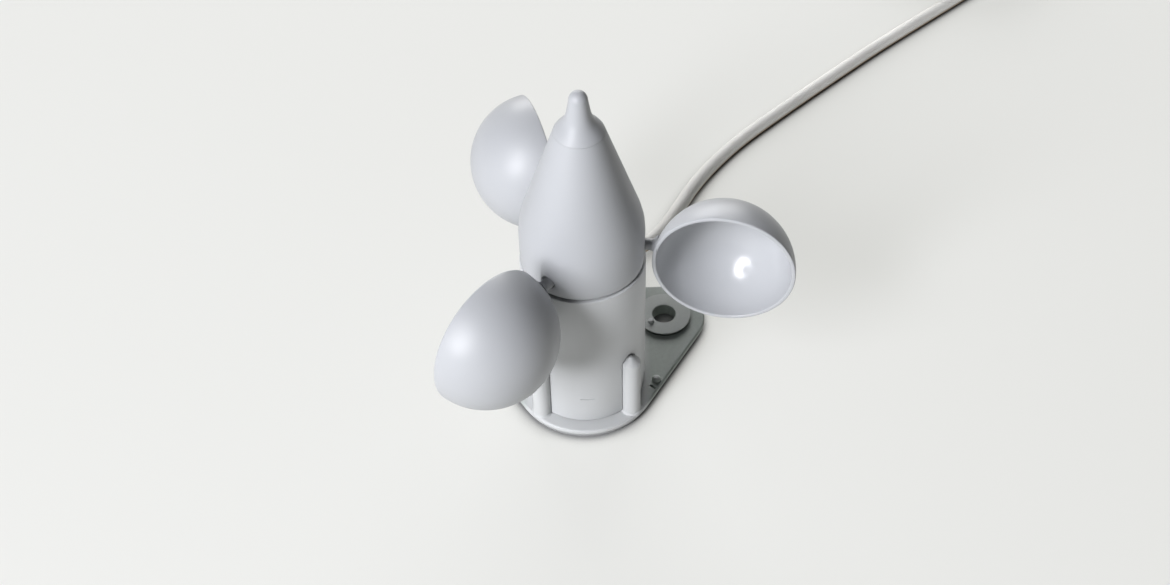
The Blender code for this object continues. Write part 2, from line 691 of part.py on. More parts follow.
def make_base_screws(look):
    """The screws that hold the housing down on the base plate, sunk in its underside."""
    for number, angle in enumerate(BASE_SCREW_ANGLES, 1):
        where = shifted(*on_circle(BASE_SCREW_CIRCLE, angle), 0.4)
        place_screw(f"base_screw_{number}", look, where, (13.6, 1.25, 2.6, 1.6))


def coil_point(radius, degrees, height):
    """A point on a circle about the coil's centre."""
    x, y = on_circle(radius, degrees)
    return Vector((COIL_CENTRE[0] + x, COIL_CENTRE[1] + y, height))


def make_cable(jacket, nylon, brown, white, tin):
    """The free cable: the loose stretch, its coil, the tail on the coil, two cores and their ferrules."""
    tube("cable_lead", smooth_route(CABLE_ROUTE, 3.2 * CABLE_RADIUS), CABLE_RADIUS, jacket, 3)
    low = COIL_MIDDLE_RADIUS - COIL_HALF_WIDTH
    high = COIL_MIDDLE_RADIUS + COIL_HALF_WIDTH
    section = [
        (low, COIL_BOTTOM + COIL_EDGE),
        (low + COIL_EDGE, COIL_BOTTOM),
        (high - COIL_EDGE, COIL_BOTTOM),
        (high, COIL_BOTTOM + COIL_EDGE),
        (high, COIL_TOP - COIL_EDGE),
        (high - COIL_EDGE, COIL_TOP),
        (low + COIL_EDGE, COIL_TOP),
        (low, COIL_TOP - COIL_EDGE),
    ]
    piece("cable_coil", turned(section, 32), jacket, place=(shifted(*COIL_CENTRE),))
    spread = TAIL_END_ANGLE - TAIL_START_ANGLE
    tail = []
    for step in range(TAIL_STEPS + 1):
        share = step / TAIL_STEPS
        radius = TAIL_START_RADIUS + (TAIL_END_RADIUS - TAIL_START_RADIUS) * share
        tail.append(coil_point(radius, TAIL_START_ANGLE + spread * share, TAIL_HEIGHT))
    tube("cable_tail", tail, CABLE_RADIUS, jacket, 3)
    place = (turned_by(TIE_ANGLE), shifted(*COIL_CENTRE))
    inner = low - 1.0
    outer = high + GAP
    top = COIL_TOP + GAP
    strap = block(
        (inner - TIE_THICKNESS, -TIE_HALF_WIDTH, 0.0),
        (outer + TIE_THICKNESS, TIE_HALF_WIDTH, top + TIE_THICKNESS),
    )
    reach = TIE_HALF_WIDTH + 2.0
    inside = block((inner, -reach, COIL_BOTTOM - GAP), (outer, reach, top))
    tie = piece("coil_tie", strap, nylon, place=place)
    combine(tie, "DIFFERENCE", [moved(inside, *place)])
    for name, look, offset in (("brown", brown, -1.3), ("white", white, 1.3)):
        route = []
        for step in range(CORE_STEPS + 1):
            share = step / CORE_STEPS
            angle = CORE_START_ANGLE + (CORE_END_ANGLE - CORE_START_ANGLE) * share
            radius = TAIL_END_RADIUS + offset * (0.75 + 1.2 * share)
            drop = TAIL_HEIGHT - top - FERRULE_RADIUS
            route.append(coil_point(radius, angle, TAIL_HEIGHT - drop * min(1.0, 1.3 * share)))
        tube(f"cable_core_{name}", route, CORE_RADIUS, look)
        direction = (route[-1] - route[-2]).normalized()
        direction.z = 0.0
        start = route[-1] + direction * GAP
        turn = math.degrees(math.atan2(direction.y, direction.x))
        collar = [(0.0, 0.0), (FERRULE_RADIUS, 0.0), (FERRULE_RADIUS, 2.6)]
        sleeve = [(0.75, 3.4), (0.75, FERRULE_LENGTH), (0.0, FERRULE_LENGTH)]
        ferrule = turned(collar + sleeve, 10)
        lying = (turned_by(90.0, "Y"), turned_by(turn), shifted(*start))
        piece(f"cable_ferrule_{name}", ferrule, tin, place=lying)


def main():
    """Builds the whole anemometer."""
    for old in list(bpy.data.objects):
        bpy.data.objects.remove(old)
    plastic = material("light_grey_plastic", (0.56, 0.57, 0.60), 0.4)
    cup_plastic = material("cup_plastic", (0.58, 0.59, 0.62), 0.32)
    base_plastic = material("base_plastic", (0.5, 0.53, 0.51), 0.5)
    steel = material("bright_steel", (0.62, 0.62, 0.64), 0.3, 1.0)
    brass = material("brass", (0.72, 0.55, 0.27), 0.35, 1.0)
    dark_magnet = material("ferrite", (0.06, 0.06, 0.065), 0.5)
    nylon = material("natural_nylon", (0.75, 0.74, 0.69), 0.5)
    rubber = material("grey_rubber", (0.33, 0.34, 0.35), 0.7)
    laminate = material("circuit_board_laminate", (0.05, 0.24, 0.12), 0.5)
    glass = material("reed_glass", (0.45, 0.62, 0.5), 0.1)
    green = material("terminal_plastic", (0.08, 0.38, 0.16), 0.45)
    jacket = material("cable_jacket", (0.68, 0.67, 0.63), 0.5)
    brown = material("brown_core", (0.2, 0.09, 0.04), 0.5)
    white = material("white_core", (0.8, 0.8, 0.78), 0.5)
    tin = material("tinned_copper", (0.7, 0.69, 0.67), 0.35, 1.0)
    rotor = bpy.data.objects.new("rotor_axis", None)
    bpy.context.scene.collection.objects.link(rotor)
    make_base(base_plastic)
    make_seal(rubber)
    make_base_screws(steel)
    make_housing(plastic)
    make_outlet(rubber, nylon, brown, white)
    make_board(laminate, steel, glass, green)
    make_shaft_line(steel, brass, dark_magnet, nylon, rotor)
    make_rotor_shell(plastic, rotor)
    make_nose(plastic, steel, rotor)
    make_cups(cup_plastic, steel, rotor)
    make_cable(jacket, nylon, brown, white, tin)


main()
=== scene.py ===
"""The cup anemometer, finished: smooth moulded pieces, its signal cable, materials and a plain studio.

Details are in millimetres and become metres when an object is made. The main extents come from the frame.
"""

import json
import math

import bmesh
import bpy
from mathutils import Matrix, Vector


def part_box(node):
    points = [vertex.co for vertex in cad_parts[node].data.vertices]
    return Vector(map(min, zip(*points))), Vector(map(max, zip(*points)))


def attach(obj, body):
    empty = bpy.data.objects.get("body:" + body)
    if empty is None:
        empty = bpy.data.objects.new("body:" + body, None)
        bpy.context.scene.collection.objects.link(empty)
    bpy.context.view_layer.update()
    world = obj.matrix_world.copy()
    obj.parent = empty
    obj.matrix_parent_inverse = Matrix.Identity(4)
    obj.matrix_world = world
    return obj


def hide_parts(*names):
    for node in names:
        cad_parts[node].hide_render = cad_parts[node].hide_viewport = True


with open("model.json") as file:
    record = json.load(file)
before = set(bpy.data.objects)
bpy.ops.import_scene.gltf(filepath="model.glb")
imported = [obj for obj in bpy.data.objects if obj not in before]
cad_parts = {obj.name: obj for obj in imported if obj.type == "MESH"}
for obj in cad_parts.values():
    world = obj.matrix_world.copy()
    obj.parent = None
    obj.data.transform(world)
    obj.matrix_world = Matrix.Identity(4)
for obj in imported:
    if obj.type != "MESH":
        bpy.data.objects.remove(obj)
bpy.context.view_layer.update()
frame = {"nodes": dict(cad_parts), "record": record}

MM = 0.001

# Camera: the photographed view, from in front of the instrument and above it.
CAMERA_PLACE = (0.0, -354.6, 441.0)
CAMERA_TILT = 41.91
CAMERA_TURN = -0.07
CAMERA_ROLL = -1.61
CAMERA_LENS = 50.57
CAMERA_SENSOR = 36.0

# Outlines: angles in degrees, and how much of a side a corner's rounding may take up.
FACET_ANGLE = 15.0
STRAIGHT_HALF_ANGLE = 89.5
CORNER_SHARE = 0.49
ROUTE_FINE_STEPS = 20

# Cable: the route that lies loose, then the turns of its coil.
CABLE_RADIUS = 2.6
CABLE_ROUTE = (
    (0.0, 9.0, 13.0),
    (0.0, 16.0, 13.0),
    (0.0, 23.0, 13.0),
    (0.0, 29.5, 13.0),
    (1.6, 35.8, 12.5),
    (6.0, 42.5, 11.0),
    (12.0, 49.0, 9.0),
    (18.4, 54.4, 7.2),
    (24.2, 59.6, 6.0),
    (28.9, 65.6, 5.0),
    (33.0, 72.6, 4.1),
    (37.4, 81.0, 3.3),
    (42.4, 90.4, 2.8),
    (50.4, 102.0, 2.7),
    (62.6, 116.0, 2.7),
    (79.5, 131.7, 2.7),
    (101.4, 151.0, 2.7),
    (124.2, 170.6, 2.7),
    (148.2, 189.8, 2.7),
    (160.4, 199.4, 2.8),
    (173.2, 209.4, 3.2),
)
COIL_START_ANGLE = -52.0
COIL_OUTER_TURN = 38.6
COIL_FIRST_LAYER = 3.5
TURN_PITCH = 5.25
TURNS_ACROSS = 4
TURN_STEPS = 36
TAIL_START_ANGLE = 20.0
TAIL_END_ANGLE = 160.0
TAIL_RADII = (21.0, 28.0)
TAIL_ABOVE_COIL = 2.9
ROUTE_SPACING = 4.0
TIE_HALF_WIDTH = 2.4
TIE_THICKNESS = 1.0

# Rotor.
CUP_ANGLES = (-12.0, 108.0, 228.0)
CUP_CIRCLE = 44.5
CUP_HEIGHT = 64.7
CUP_RADIUS = 22.5
CUP_WALL = 1.25
STEM_RADIUS = 1.85
STEM_HEIGHT = 69.2
STEM_BEHIND_RIM = 3.0
STEM_INNER_END = 12.3
STEM_HOLE_RADIUS = 2.12
STEM_HOLE_MOUTH = 2.7
SOCKET_RADIUS = 3.5
SOCKET_START = 11.2
CUP_SCREW_CIRCLE = 14.6
CUP_SCREW_HOLE_RADIUS = 1.1
CUP_EDGE = 0.35
CUP_EDGE_STEPS = 5
CUP_STEPS = 64
SHELL_WALL = 2.0
SHELL_CEILING = 103.5
CONE_START = (18.85, 82.0)
CONE_END = (7.75, 116.4)
NIPPLE_RADIUS = 2.85
NIPPLE_STEPS = 16

# Studio. The floor's and backdrop's sizes are in millimetres, the shadow's reach and all of the lights'
# lengths in metres, powers in watts, and directions in degrees clockwise from +Y and above the floor.
# The key's fade and notch are in shares of its face.
FLOOR_HALF_WIDTH = 6000.0
FLOOR_GLOW = 0.58
FLOOR_TINT = (1.0, 1.005, 0.96, 1.0)
FLOOR_GREYS = ((0.21, 0.21, 0.21, 1.0), (0.22, 0.22, 0.22, 1.0))
FLOOR_SHADOW_REACH = 0.012
FLOOR_SHADOW_RANGE = (0.4, 0.8)
BACKDROP_SIZE = (5800.0, 3000.0)
SURROUND_COLOUR = (0.93, 0.95, 1.0, 1.0)
SURROUND_STRENGTH = 0.02
LIGHT_DISTANCE = 1.3
LIGHT_TARGET = (0.0, 0.0, 0.07)
KEY_DIRECTION = (-134.0, 32.5)
KEY_SIZE = (0.72, 1.0)
KEY_POWER = 80.0
KEY_TINT = (0.985, 0.99, 1.03)
KEY_FADE = (0.3, 0.5)
KEY_NOTCH = (0.3, 0.5)
KEY_NOTCH_REACH = (0.17, 0.3)
BACK_DIRECTION = (0.0, 20.0)
BACK_SIZE = (1.0, 0.6)
BACK_POWER = 14.5
BACK_TINT = (1.0, 1.0, 1.0)

# Base plate.
CORNER_ANGLES = (45.0, 135.0, 225.0, 315.0)
POST_CIRCLE = 21.0
POST_RADIUS = 3.1
POST_SHOULDER = 28.2
PLATE_THICKNESS = 4.0
PLATE_EDGE = 0.8
PLATE_EDGE_STEPS = 6
PLATE_UNDERCUT = ((0.0, 1.2), (0.15, 1.05), (2.2, 0.3), (2.6, 0.0))
FRONT_RADIUS = 24.4
LUG_X = 28.0
LUG_Y = 25.5
LUG_RADIUS = 14.3
# Span of |x| over which the lugs' painted shade fades in.
LUG_SHADE_RANGE = (19.5, 22.5)
# Span of height over which raised tops take painted light.
TOP_LIGHT_RANGE = (4.9, 5.5)
BOSS_RADIUS = 9.4
BOSS_TOP = 5.2
MOAT_RADII = (8.0, 9.3)
PEG_PLACE = (23.9, -3.1)
PIP_FROM_HOLE = (-4.7, -3.4)
SLOT_PLACE = (22.5, -6.3)
SLOT_ANGLE = 40.0
BASE_SCREW_ANGLES = (0.0, 180.0, 270.0)
BASE_SCREW_CIRCLE = 18.0
BASE_SCREW_RADIUS = 1.6

# Housing.
HOUSING_TOP = 63.3
HOUSING_CEILING = 59.0
HOUSING_BORE = 16.0
TOWER_RADIUS = 8.8
BEARING_SEAT_RADIUS = 6.8
BEARING_SEAT_FLOOR = 65.5
SHAFT_BORE = 5.2
FLUTE_RADIUS = 3.32
STANDOFF_X = 10.5
STANDOFF_RADIUS = 3.0
STANDOFF_END = 45.9
BOARD_SCREW_RADIUS = 1.4
CABLE_HEIGHT = 13.0
CABLE_BOSS_RADIUS = 7.0
OUTLET_RADIUS = 4.5
MARK_HEIGHT = 15.5
MARK_HALF_WIDTH = 2.4

# Grommet.
GROMMET_BORE = 2.75
GROMMET_FLANGE = 5.6
GROMMET_NECK = 4.2
GROMMET_INNER_FLANGE = 1.7
GROMMET_OUTER_FLANGE = 1.3
GROMMET_SEAT = 21.8
SLEEVE_START = 4.75
SLEEVE_TAPER = 1.25
SLEEVE_RIBS = 4
RIB_DEPTH = 0.45


# ---------------------------------------------------------------- shapes


def rounded(corners, closed=False):
    """An outline through (x, y, radius) corners, each one rounded to its radius."""
    outline = []
    for i, (x, y, radius) in enumerate(corners):
        end = i in (0, len(corners) - 1) and not closed
        if radius == 0.0 or end:
            outline.append((x, y))
            continue
        here = Vector((x, y))
        before = Vector(corners[i - 1][:2]) - here
        after = Vector(corners[(i + 1) % len(corners)][:2]) - here
        half = before.angle(after) / 2.0
        if half > math.radians(STRAIGHT_HALF_ANGLE):
            outline.append((x, y))
            continue
        room = CORNER_SHARE * before.length, CORNER_SHARE * after.length
        reach = min(radius / math.tan(half), *room)
        arc_radius = reach * math.tan(half)
        middle = (before.normalized() + after.normalized()).normalized()
        centre = here + middle * (arc_radius / math.sin(half))
        start = before.normalized() * reach + here - centre
        finish = after.normalized() * reach + here - centre
        turn = start.angle_signed(finish)
        steps = max(2, math.ceil(abs(turn) / math.radians(FACET_ANGLE)))
        for step in range(steps + 1):
            spoke = Matrix.Rotation(-turn * step / steps, 2) @ start
            outline.append(tuple(centre + spoke))
    return outline


def turned(outline, sides=128):
    """A solid turned about Z from (radius, height) points, closed first unless both ends are on the axis."""
    mesh = bmesh.new()
    points = [mesh.verts.new((radius, 0.0, height)) for radius, height in outline]
    edges = [mesh.edges.new(pair) for pair in zip(points, points[1:])]
    if outline[0][0] > 0.0 or outline[-1][0] > 0.0:
        edges.append(mesh.edges.new((points[-1], points[0])))
    bmesh.ops.spin(
        mesh,
        geom=points + edges,
        cent=(0.0, 0.0, 0.0),
        axis=(0.0, 0.0, 1.0),
        angle=2.0 * math.pi,
        steps=sides,
        use_merge=True,
    )
    bmesh.ops.remove_doubles(mesh, verts=mesh.verts, dist=0.0005)
    bmesh.ops.recalc_face_normals(mesh, faces=mesh.faces)
    return mesh


def stacked(levels):
    """A solid through outlines of equal length, each given as (height, points)."""
    mesh = bmesh.new()
    rows = [[mesh.verts.new((x, y, height)) for x, y in points] for height, points in levels]
    for lower, upper in zip(rows, rows[1:]):
        for i in range(len(lower)):
            j = (i + 1) % len(lower)
            mesh.faces.new((lower[i], lower[j], upper[j], upper[i]))
    mesh.faces.new(rows[0][::-1])
    mesh.faces.new(rows[-1])
    bmesh.ops.recalc_face_normals(mesh, faces=mesh.faces)
    return mesh


def rod(radius, bottom, top, edge=0.0, sides=48):
    """A cylinder along Z with rounded ends."""
    corners = ((0.0, bottom, 0.0), (radius, bottom, edge), (radius, top, edge), (0.0, top, 0.0))
    return turned(rounded(corners), sides)


def block(low, high, edge=0.0):
    """A box between two corners with bevelled edges."""
    mesh = bmesh.new()
    bmesh.ops.create_cube(mesh, size=1.0)
    bmesh.ops.scale(mesh, vec=Vector(high) - Vector(low), verts=mesh.verts)
    bmesh.ops.translate(mesh, vec=(Vector(high) + Vector(low)) / 2.0, verts=mesh.verts)
    if edge:
        bmesh.ops.bevel(mesh, geom=mesh.edges[:], offset=edge, segments=3, profile=0.5, affect="EDGES")
    return mesh


def shifted(x, y, z=0.0):
    """A translation."""
    return Matrix.Translation((x, y, z))


def turned_by(degrees, axis="Z"):
    """A rotation about an axis through the origin."""
    return Matrix.Rotation(math.radians(degrees), 4, axis)


def on_circle(radius, degrees):
    """The (x, y) point at an angle on a circle about the rotor's axis."""
    angle = math.radians(degrees)
    return radius * math.cos(angle), radius * math.sin(angle)


def solid(name, mesh, *places):
    """An object in metres from a bmesh in millimetres, after each matrix in turn."""
    for place in places:
        bmesh.ops.transform(mesh, matrix=place, verts=mesh.verts)
    bmesh.ops.scale(mesh, vec=(MM, MM, MM), verts=mesh.verts)
    stored = bpy.data.meshes.new(name)
    mesh.to_mesh(stored)
    mesh.free()
    made = bpy.data.objects.new(name, stored)
    bpy.context.scene.collection.objects.link(made)
    return made


def combine(target, operation, tools):
    """Joins the tools to the target, or cuts them from it, and leaves one finished mesh."""
    for tool in tools:
        step = target.modifiers.new(operation.lower(), "BOOLEAN")
        step.operation = operation
        step.solver = "EXACT"
        step.object = tool
    graph = bpy.context.evaluated_depsgraph_get()
    graph.update()
    finished = bpy.data.meshes.new_from_object(target.evaluated_get(graph))
    target.modifiers.clear()
    target.data = finished
    for tool in tools:
        bpy.data.objects.remove(tool)


def finish_piece(made, body, look, *nodes, sharp=32.0):
    """Shades a piece, gives it its material and body, and lets it stand for its CAD nodes."""
    made.data.materials.clear()
    made.data.materials.append(look)
    if made.type == "MESH":
        made.data.shade_smooth()
        made.data.set_sharp_from_angle(angle=math.radians(sharp))
    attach(made, body)
    if nodes:
        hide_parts(*nodes)
    return made


def smooth_route(route, spacing):
    """Points a set distance apart on the smooth curve through the route."""
    places = [Vector(point) for point in route]
    ends = [2.0 * places[0] - places[1], *places, 2.0 * places[-1] - places[-2]]
    fine = []
    for before, start, end, after in zip(ends, ends[1:], ends[2:], ends[3:]):
        for step in range(ROUTE_FINE_STEPS):
            t = step / ROUTE_FINE_STEPS
            fine.append(
                0.5
                * (
                    2.0 * start
                    + (end - before) * t
                    + (2.0 * before - 5.0 * start + 4.0 * end - after) * t**2
                    + (3.0 * start - before - 3.0 * end + after) * t**3
                )
            )
    fine.append(places[-1])
    lengths = [0.0]
    for start, end in zip(fine, fine[1:]):
        lengths.append(lengths[-1] + (end - start).length)
    count = max(2, round(lengths[-1] / spacing))
    picked = []
    at = 0
    for number in range(count + 1):
        target = lengths[-1] * number / count
        while at < len(fine) - 2 and lengths[at + 1] < target:
            at += 1
        share = (target - lengths[at]) / (lengths[at + 1] - lengths[at])
        picked.append(fine[at].lerp(fine[at + 1], share))
    return picked


def tube(name, points, radius, resolution=5):
    """A round cord through points in millimetres, as a curve with filled caps."""
    curve = bpy.data.curves.new(name, "CURVE")
    curve.dimensions = "3D"
    spline = curve.splines.new("POLY")
    spline.points.add(len(points) - 1)
    for held, point in zip(spline.points, points):
        held.co = (*(Vector(point) * MM), 1.0)
    curve.bevel_depth = radius * MM
    curve.bevel_resolution = resolution
    curve.use_fill_caps = True
    made = bpy.data.objects.new(name, curve)
    bpy.context.scene.collection.objects.link(made)
    return made


# ---------------------------------------------------------------- materials


def add(tree, kind, inputs=None, **settings):
    """A node with its settings and its inputs, each a value or another node's output."""
    node = tree.nodes.new(kind)
    for key, value in settings.items():
        setattr(node, key, value)
    for key, value in (inputs or {}).items():
        if isinstance(value, bpy.types.NodeSocket):
            tree.links.new(value, node.inputs[key])
        else:
            node.inputs[key].default_value = value
    return node


def noise(tree, place, scale, detail=2.0, roughness=0.5):
    """A noise pattern's value."""
    inputs = {"Vector": place, "Scale": scale, "Detail": detail, "Roughness": roughness}
    return add(tree, "ShaderNodeTexNoise", inputs).outputs["Fac"]


def between(tree, value, low, high, low_in=0.3, high_in=0.7):
    """A value mapped onto a range."""
    inputs = {"Value": value, "From Min": low_in, "From Max": high_in, "To Min": low, "To Max": high}
    return add(tree, "ShaderNodeMapRange", inputs).outputs["Result"]


def blended(tree, share, first, second):
    """A colour between two."""
    node = add(tree, "ShaderNodeMix", data_type="RGBA")
    for index, value in ((0, share), (6, first), (7, second)):
        if isinstance(value, bpy.types.NodeSocket):
            tree.links.new(value, node.inputs[index])
        else:
            node.inputs[index].default_value = value
    return node.outputs[2]


def shade(colour, factor):
    """A colour made darker or lighter."""
    return (*(min(1.0, channel * factor) for channel in colour), 1.0)


def new_material(name):
    """A material, its node tree and its Principled shader."""
    made = bpy.data.materials.new(name)
    made.use_nodes = True
    tree = made.node_tree
    return made, tree, tree.nodes["Principled BSDF"]


def facing_up(tree, low, high):
    """1 where a surface faces up, falling to 0 where it faces down."""
    normal = add(tree, "ShaderNodeNewGeometry").outputs["Normal"]
    upward = add(tree, "ShaderNodeSeparateXYZ", {"Vector": normal}).outputs["Z"]
    return between(tree, upward, 0.0, 1.0, low, high)


def moulded_plastic(name, colour, roughness, mottle=0.03, grain=0.1, edge=0.0):
    """Injection-moulded plastic: faint clouds of tone, fine grain, uneven gloss, soft edges."""
    made, tree, shader = new_material(name)
    place = add(tree, "ShaderNodeTexCoord").outputs["Object"]
    clouds = noise(tree, place, 55.0, 3.0)
    toned = blended(tree, clouds, shade(colour, 1.0 - mottle), shade(colour, 1.0 + mottle))
    tree.links.new(toned, shader.inputs["Base Color"])
    gloss = between(tree, noise(tree, place, 120.0, 3.0), roughness - 0.03, roughness + 0.04)
    tree.links.new(gloss, shader.inputs["Roughness"])
    fine = noise(tree, place, 2600.0, 2.0)
    bump = add(tree, "ShaderNodeBump", {"Strength": grain, "Distance": 0.03 * MM, "Height": fine})
    if edge:
        soft = add(tree, "ShaderNodeBevel", {"Radius": edge * MM}, samples=4)
        tree.links.new(soft.outputs["Normal"], bump.inputs["Normal"])
    tree.links.new(bump.outputs["Normal"], shader.inputs["Normal"])
    shader.inputs["IOR"].default_value = 1.45
    return made


def base_look(name, colour, lug_shade_colour):
    """The base's plastic: the lugs speckled, with painted shade that makes them darker and greener, painted
    light on their raised tops and painted shade under their edges.
    """
    made = moulded_plastic(name, colour, 0.52, mottle=0.04, edge=0.25)
    tree = made.node_tree
    shader = tree.nodes["Principled BSDF"]
    plain = shader.inputs["Base Color"].links[0].from_socket
    place = add(tree, "ShaderNodeTexCoord").outputs["Object"]
    along = add(tree, "ShaderNodeSeparateXYZ", {"Vector": place})
    reach = add(tree, "ShaderNodeMath", {0: along.outputs["X"]}, operation="ABSOLUTE").outputs[0]
    specks = noise(tree, place, 650.0, 5.0, 0.75)
    # Painted shade: the lugs take a darker, greener colour than the rest, with a speckled grain over it.
    coarse = blended(tree, specks, shade(lug_shade_colour, 0.8), shade(lug_shade_colour, 1.2))
    # Painted light: raised tops, such as the bosses, pegs and pips, go back most of the way to the plain,
    # paler colour.
    painted_top_light = between(tree, along.outputs["Z"], 0.0, 0.9, *(height * MM for height in TOP_LIGHT_RANGE))
    coarse = blended(tree, painted_top_light, coarse, (*colour, 1.0))
    # Painted shade: faces that lean downwards, under the plate's edges, are painted almost black.
    painted_under_shade = blended(tree, facing_up(tree, -0.25, -0.05), shade(lug_shade_colour, 0.12), coarse)
    # The lugs' painted shade holds only where |x| is past the housing.
    on_lug = between(tree, reach, 0.0, 1.0, *(width * MM for width in LUG_SHADE_RANGE))
    toned = blended(tree, on_lug, plain, painted_under_shade)
    toned = blended(tree, facing_up(tree, -0.9, -0.6), plain, toned)
    tree.links.new(toned, shader.inputs["Base Color"])
    return made


def turned_metal(name, colour, roughness, ring_scale=900.0):
    """Turned or drawn metal: fine rings of tool marks, smudges and an uneven gloss."""
    made, tree, shader = new_material(name)
    place = add(tree, "ShaderNodeTexCoord").outputs["Object"]
    stretched = add(tree, "ShaderNodeMapping", {"Vector": place, "Scale": (0.08, 0.08, 1.0)})
    rings = noise(tree, stretched.outputs["Vector"], ring_scale, 3.0, 0.7)
    smudge = noise(tree, place, 350.0, 3.0)
    toned = blended(tree, smudge, shade(colour, 0.86), shade(colour, 1.08))
    tree.links.new(toned, shader.inputs["Base Color"])
    gloss = between(tree, rings, roughness - 0.08, roughness + 0.12)
    tree.links.new(gloss, shader.inputs["Roughness"])
    shader.inputs["Metallic"].default_value = 1.0
    soft = add(tree, "ShaderNodeBevel", {"Radius": 0.12 * MM}, samples=4)
    inputs = {"Strength": 0.3, "Distance": 0.02 * MM, "Height": rings, "Normal": soft.outputs["Normal"]}
    bump = add(tree, "ShaderNodeBump", inputs)
    tree.links.new(bump.outputs["Normal"], shader.inputs["Normal"])
    return made


def rubber_look(name, colour):
    """Moulded rubber: matt, slightly bloomed and pitted."""
    made, tree, shader = new_material(name)
    place = add(tree, "ShaderNodeTexCoord").outputs["Object"]
    bloom = between(tree, noise(tree, place, 260.0, 5.0), 0.0, 0.5, 0.45, 0.8)
    toned = blended(tree, bloom, (*colour, 1.0), shade(colour, 1.5))
    tree.links.new(toned, shader.inputs["Base Color"])
    shader.inputs["Roughness"].default_value = 0.68
    pits = noise(tree, place, 2400.0, 3.0)
    bump = add(tree, "ShaderNodeBump", {"Strength": 0.25, "Distance": 0.05 * MM, "Height": pits})
    tree.links.new(bump.outputs["Normal"], shader.inputs["Normal"])
    return made


def cable_look(name, colour, underside_shade=None):
    """An extruded soft jacket: dull, with smudges, shallow dents and, if asked, painted shade on its
    underside.
    """
    made, tree, shader = new_material(name)
    place = add(tree, "ShaderNodeTexCoord").outputs["Object"]
    smudge = between(tree, noise(tree, place, 45.0, 5.0, 0.6), 0.0, 1.0, 0.35, 0.75)
    toned = blended(tree, smudge, shade(colour, 1.04), shade(colour, 0.9))
    # Painted shade: faces turned towards the floor take the given dark brown.
    if underside_shade:
        toned = blended(tree, facing_up(tree, -0.3, 0.2), (*underside_shade, 1.0), toned)
    tree.links.new(toned, shader.inputs["Base Color"])
    gloss = between(tree, noise(tree, place, 160.0, 3.0), 0.6, 0.72)
    tree.links.new(gloss, shader.inputs["Roughness"])
    dents = noise(tree, place, 220.0, 2.0)
    wide = add(tree, "ShaderNodeBump", {"Strength": 0.35, "Distance": 0.12 * MM, "Height": dents})
    fine = noise(tree, place, 2200.0, 2.0)
    inputs = {"Strength": 0.12, "Distance": 0.04 * MM, "Height": fine, "Normal": wide.outputs["Normal"]}
    bump = add(tree, "ShaderNodeBump", inputs)
    tree.links.new(bump.outputs["Normal"], shader.inputs["Normal"])
    shader.inputs["Subsurface Weight"].default_value = 0.08
    shader.inputs["Subsurface Radius"].default_value = (0.0012, 0.0011, 0.001)
    return made


def board_look(name, colour):
    """Circuit board laminate: solder mask over a woven cloth, with lighter tracks."""
    made, tree, shader = new_material(name)
    place = add(tree, "ShaderNodeTexCoord").outputs["Object"]
    across = add(tree, "ShaderNodeTexWave", {"Vector": place, "Scale": 900.0}, bands_direction="X")
    along = add(tree, "ShaderNodeTexWave", {"Vector": place, "Scale": 900.0}, bands_direction="Y")
    inputs = {0: across.outputs["Fac"], 1: along.outputs["Fac"]}
    weave = add(tree, "ShaderNodeMath", inputs, operation="MULTIPLY").outputs[0]
    inputs = {
        "Vector": place,
        "Scale": 260.0,
        "Mortar Size": 0.06,
        "Mortar": (1, 1, 1, 1),
        "Color1": (0, 0, 0, 1),
        "Color2": (0, 0, 0, 1),
    }
    tracks = add(tree, "ShaderNodeTexBrick", inputs).outputs["Color"]
    cloth = blended(tree, weave, shade(colour, 0.75), shade(colour, 1.1))
    toned = blended(tree, tracks, cloth, shade(colour, 1.9))
    tree.links.new(toned, shader.inputs["Base Color"])
    bump = add(tree, "ShaderNodeBump", {"Strength": 0.3, "Distance": 0.03 * MM, "Height": tracks})
    tree.links.new(bump.outputs["Normal"], shader.inputs["Normal"])
    shader.inputs["Roughness"].default_value = 0.35
    return made


def glass_look(name, colour):
    """Green-tinted glass with a faint swirl."""
    made, tree, shader = new_material(name)
    place = add(tree, "ShaderNodeTexCoord").outputs["Object"]
    swirl = noise(tree, place, 500.0, 2.0)
    toned = blended(tree, swirl, shade(colour, 0.9), shade(colour, 1.1))
    tree.links.new(toned, shader.inputs["Base Color"])
    shader.inputs["Roughness"].default_value = 0.06
    shader.inputs["Transmission Weight"].default_value = 0.6
    return made


# ---------------------------------------------------------------- pieces


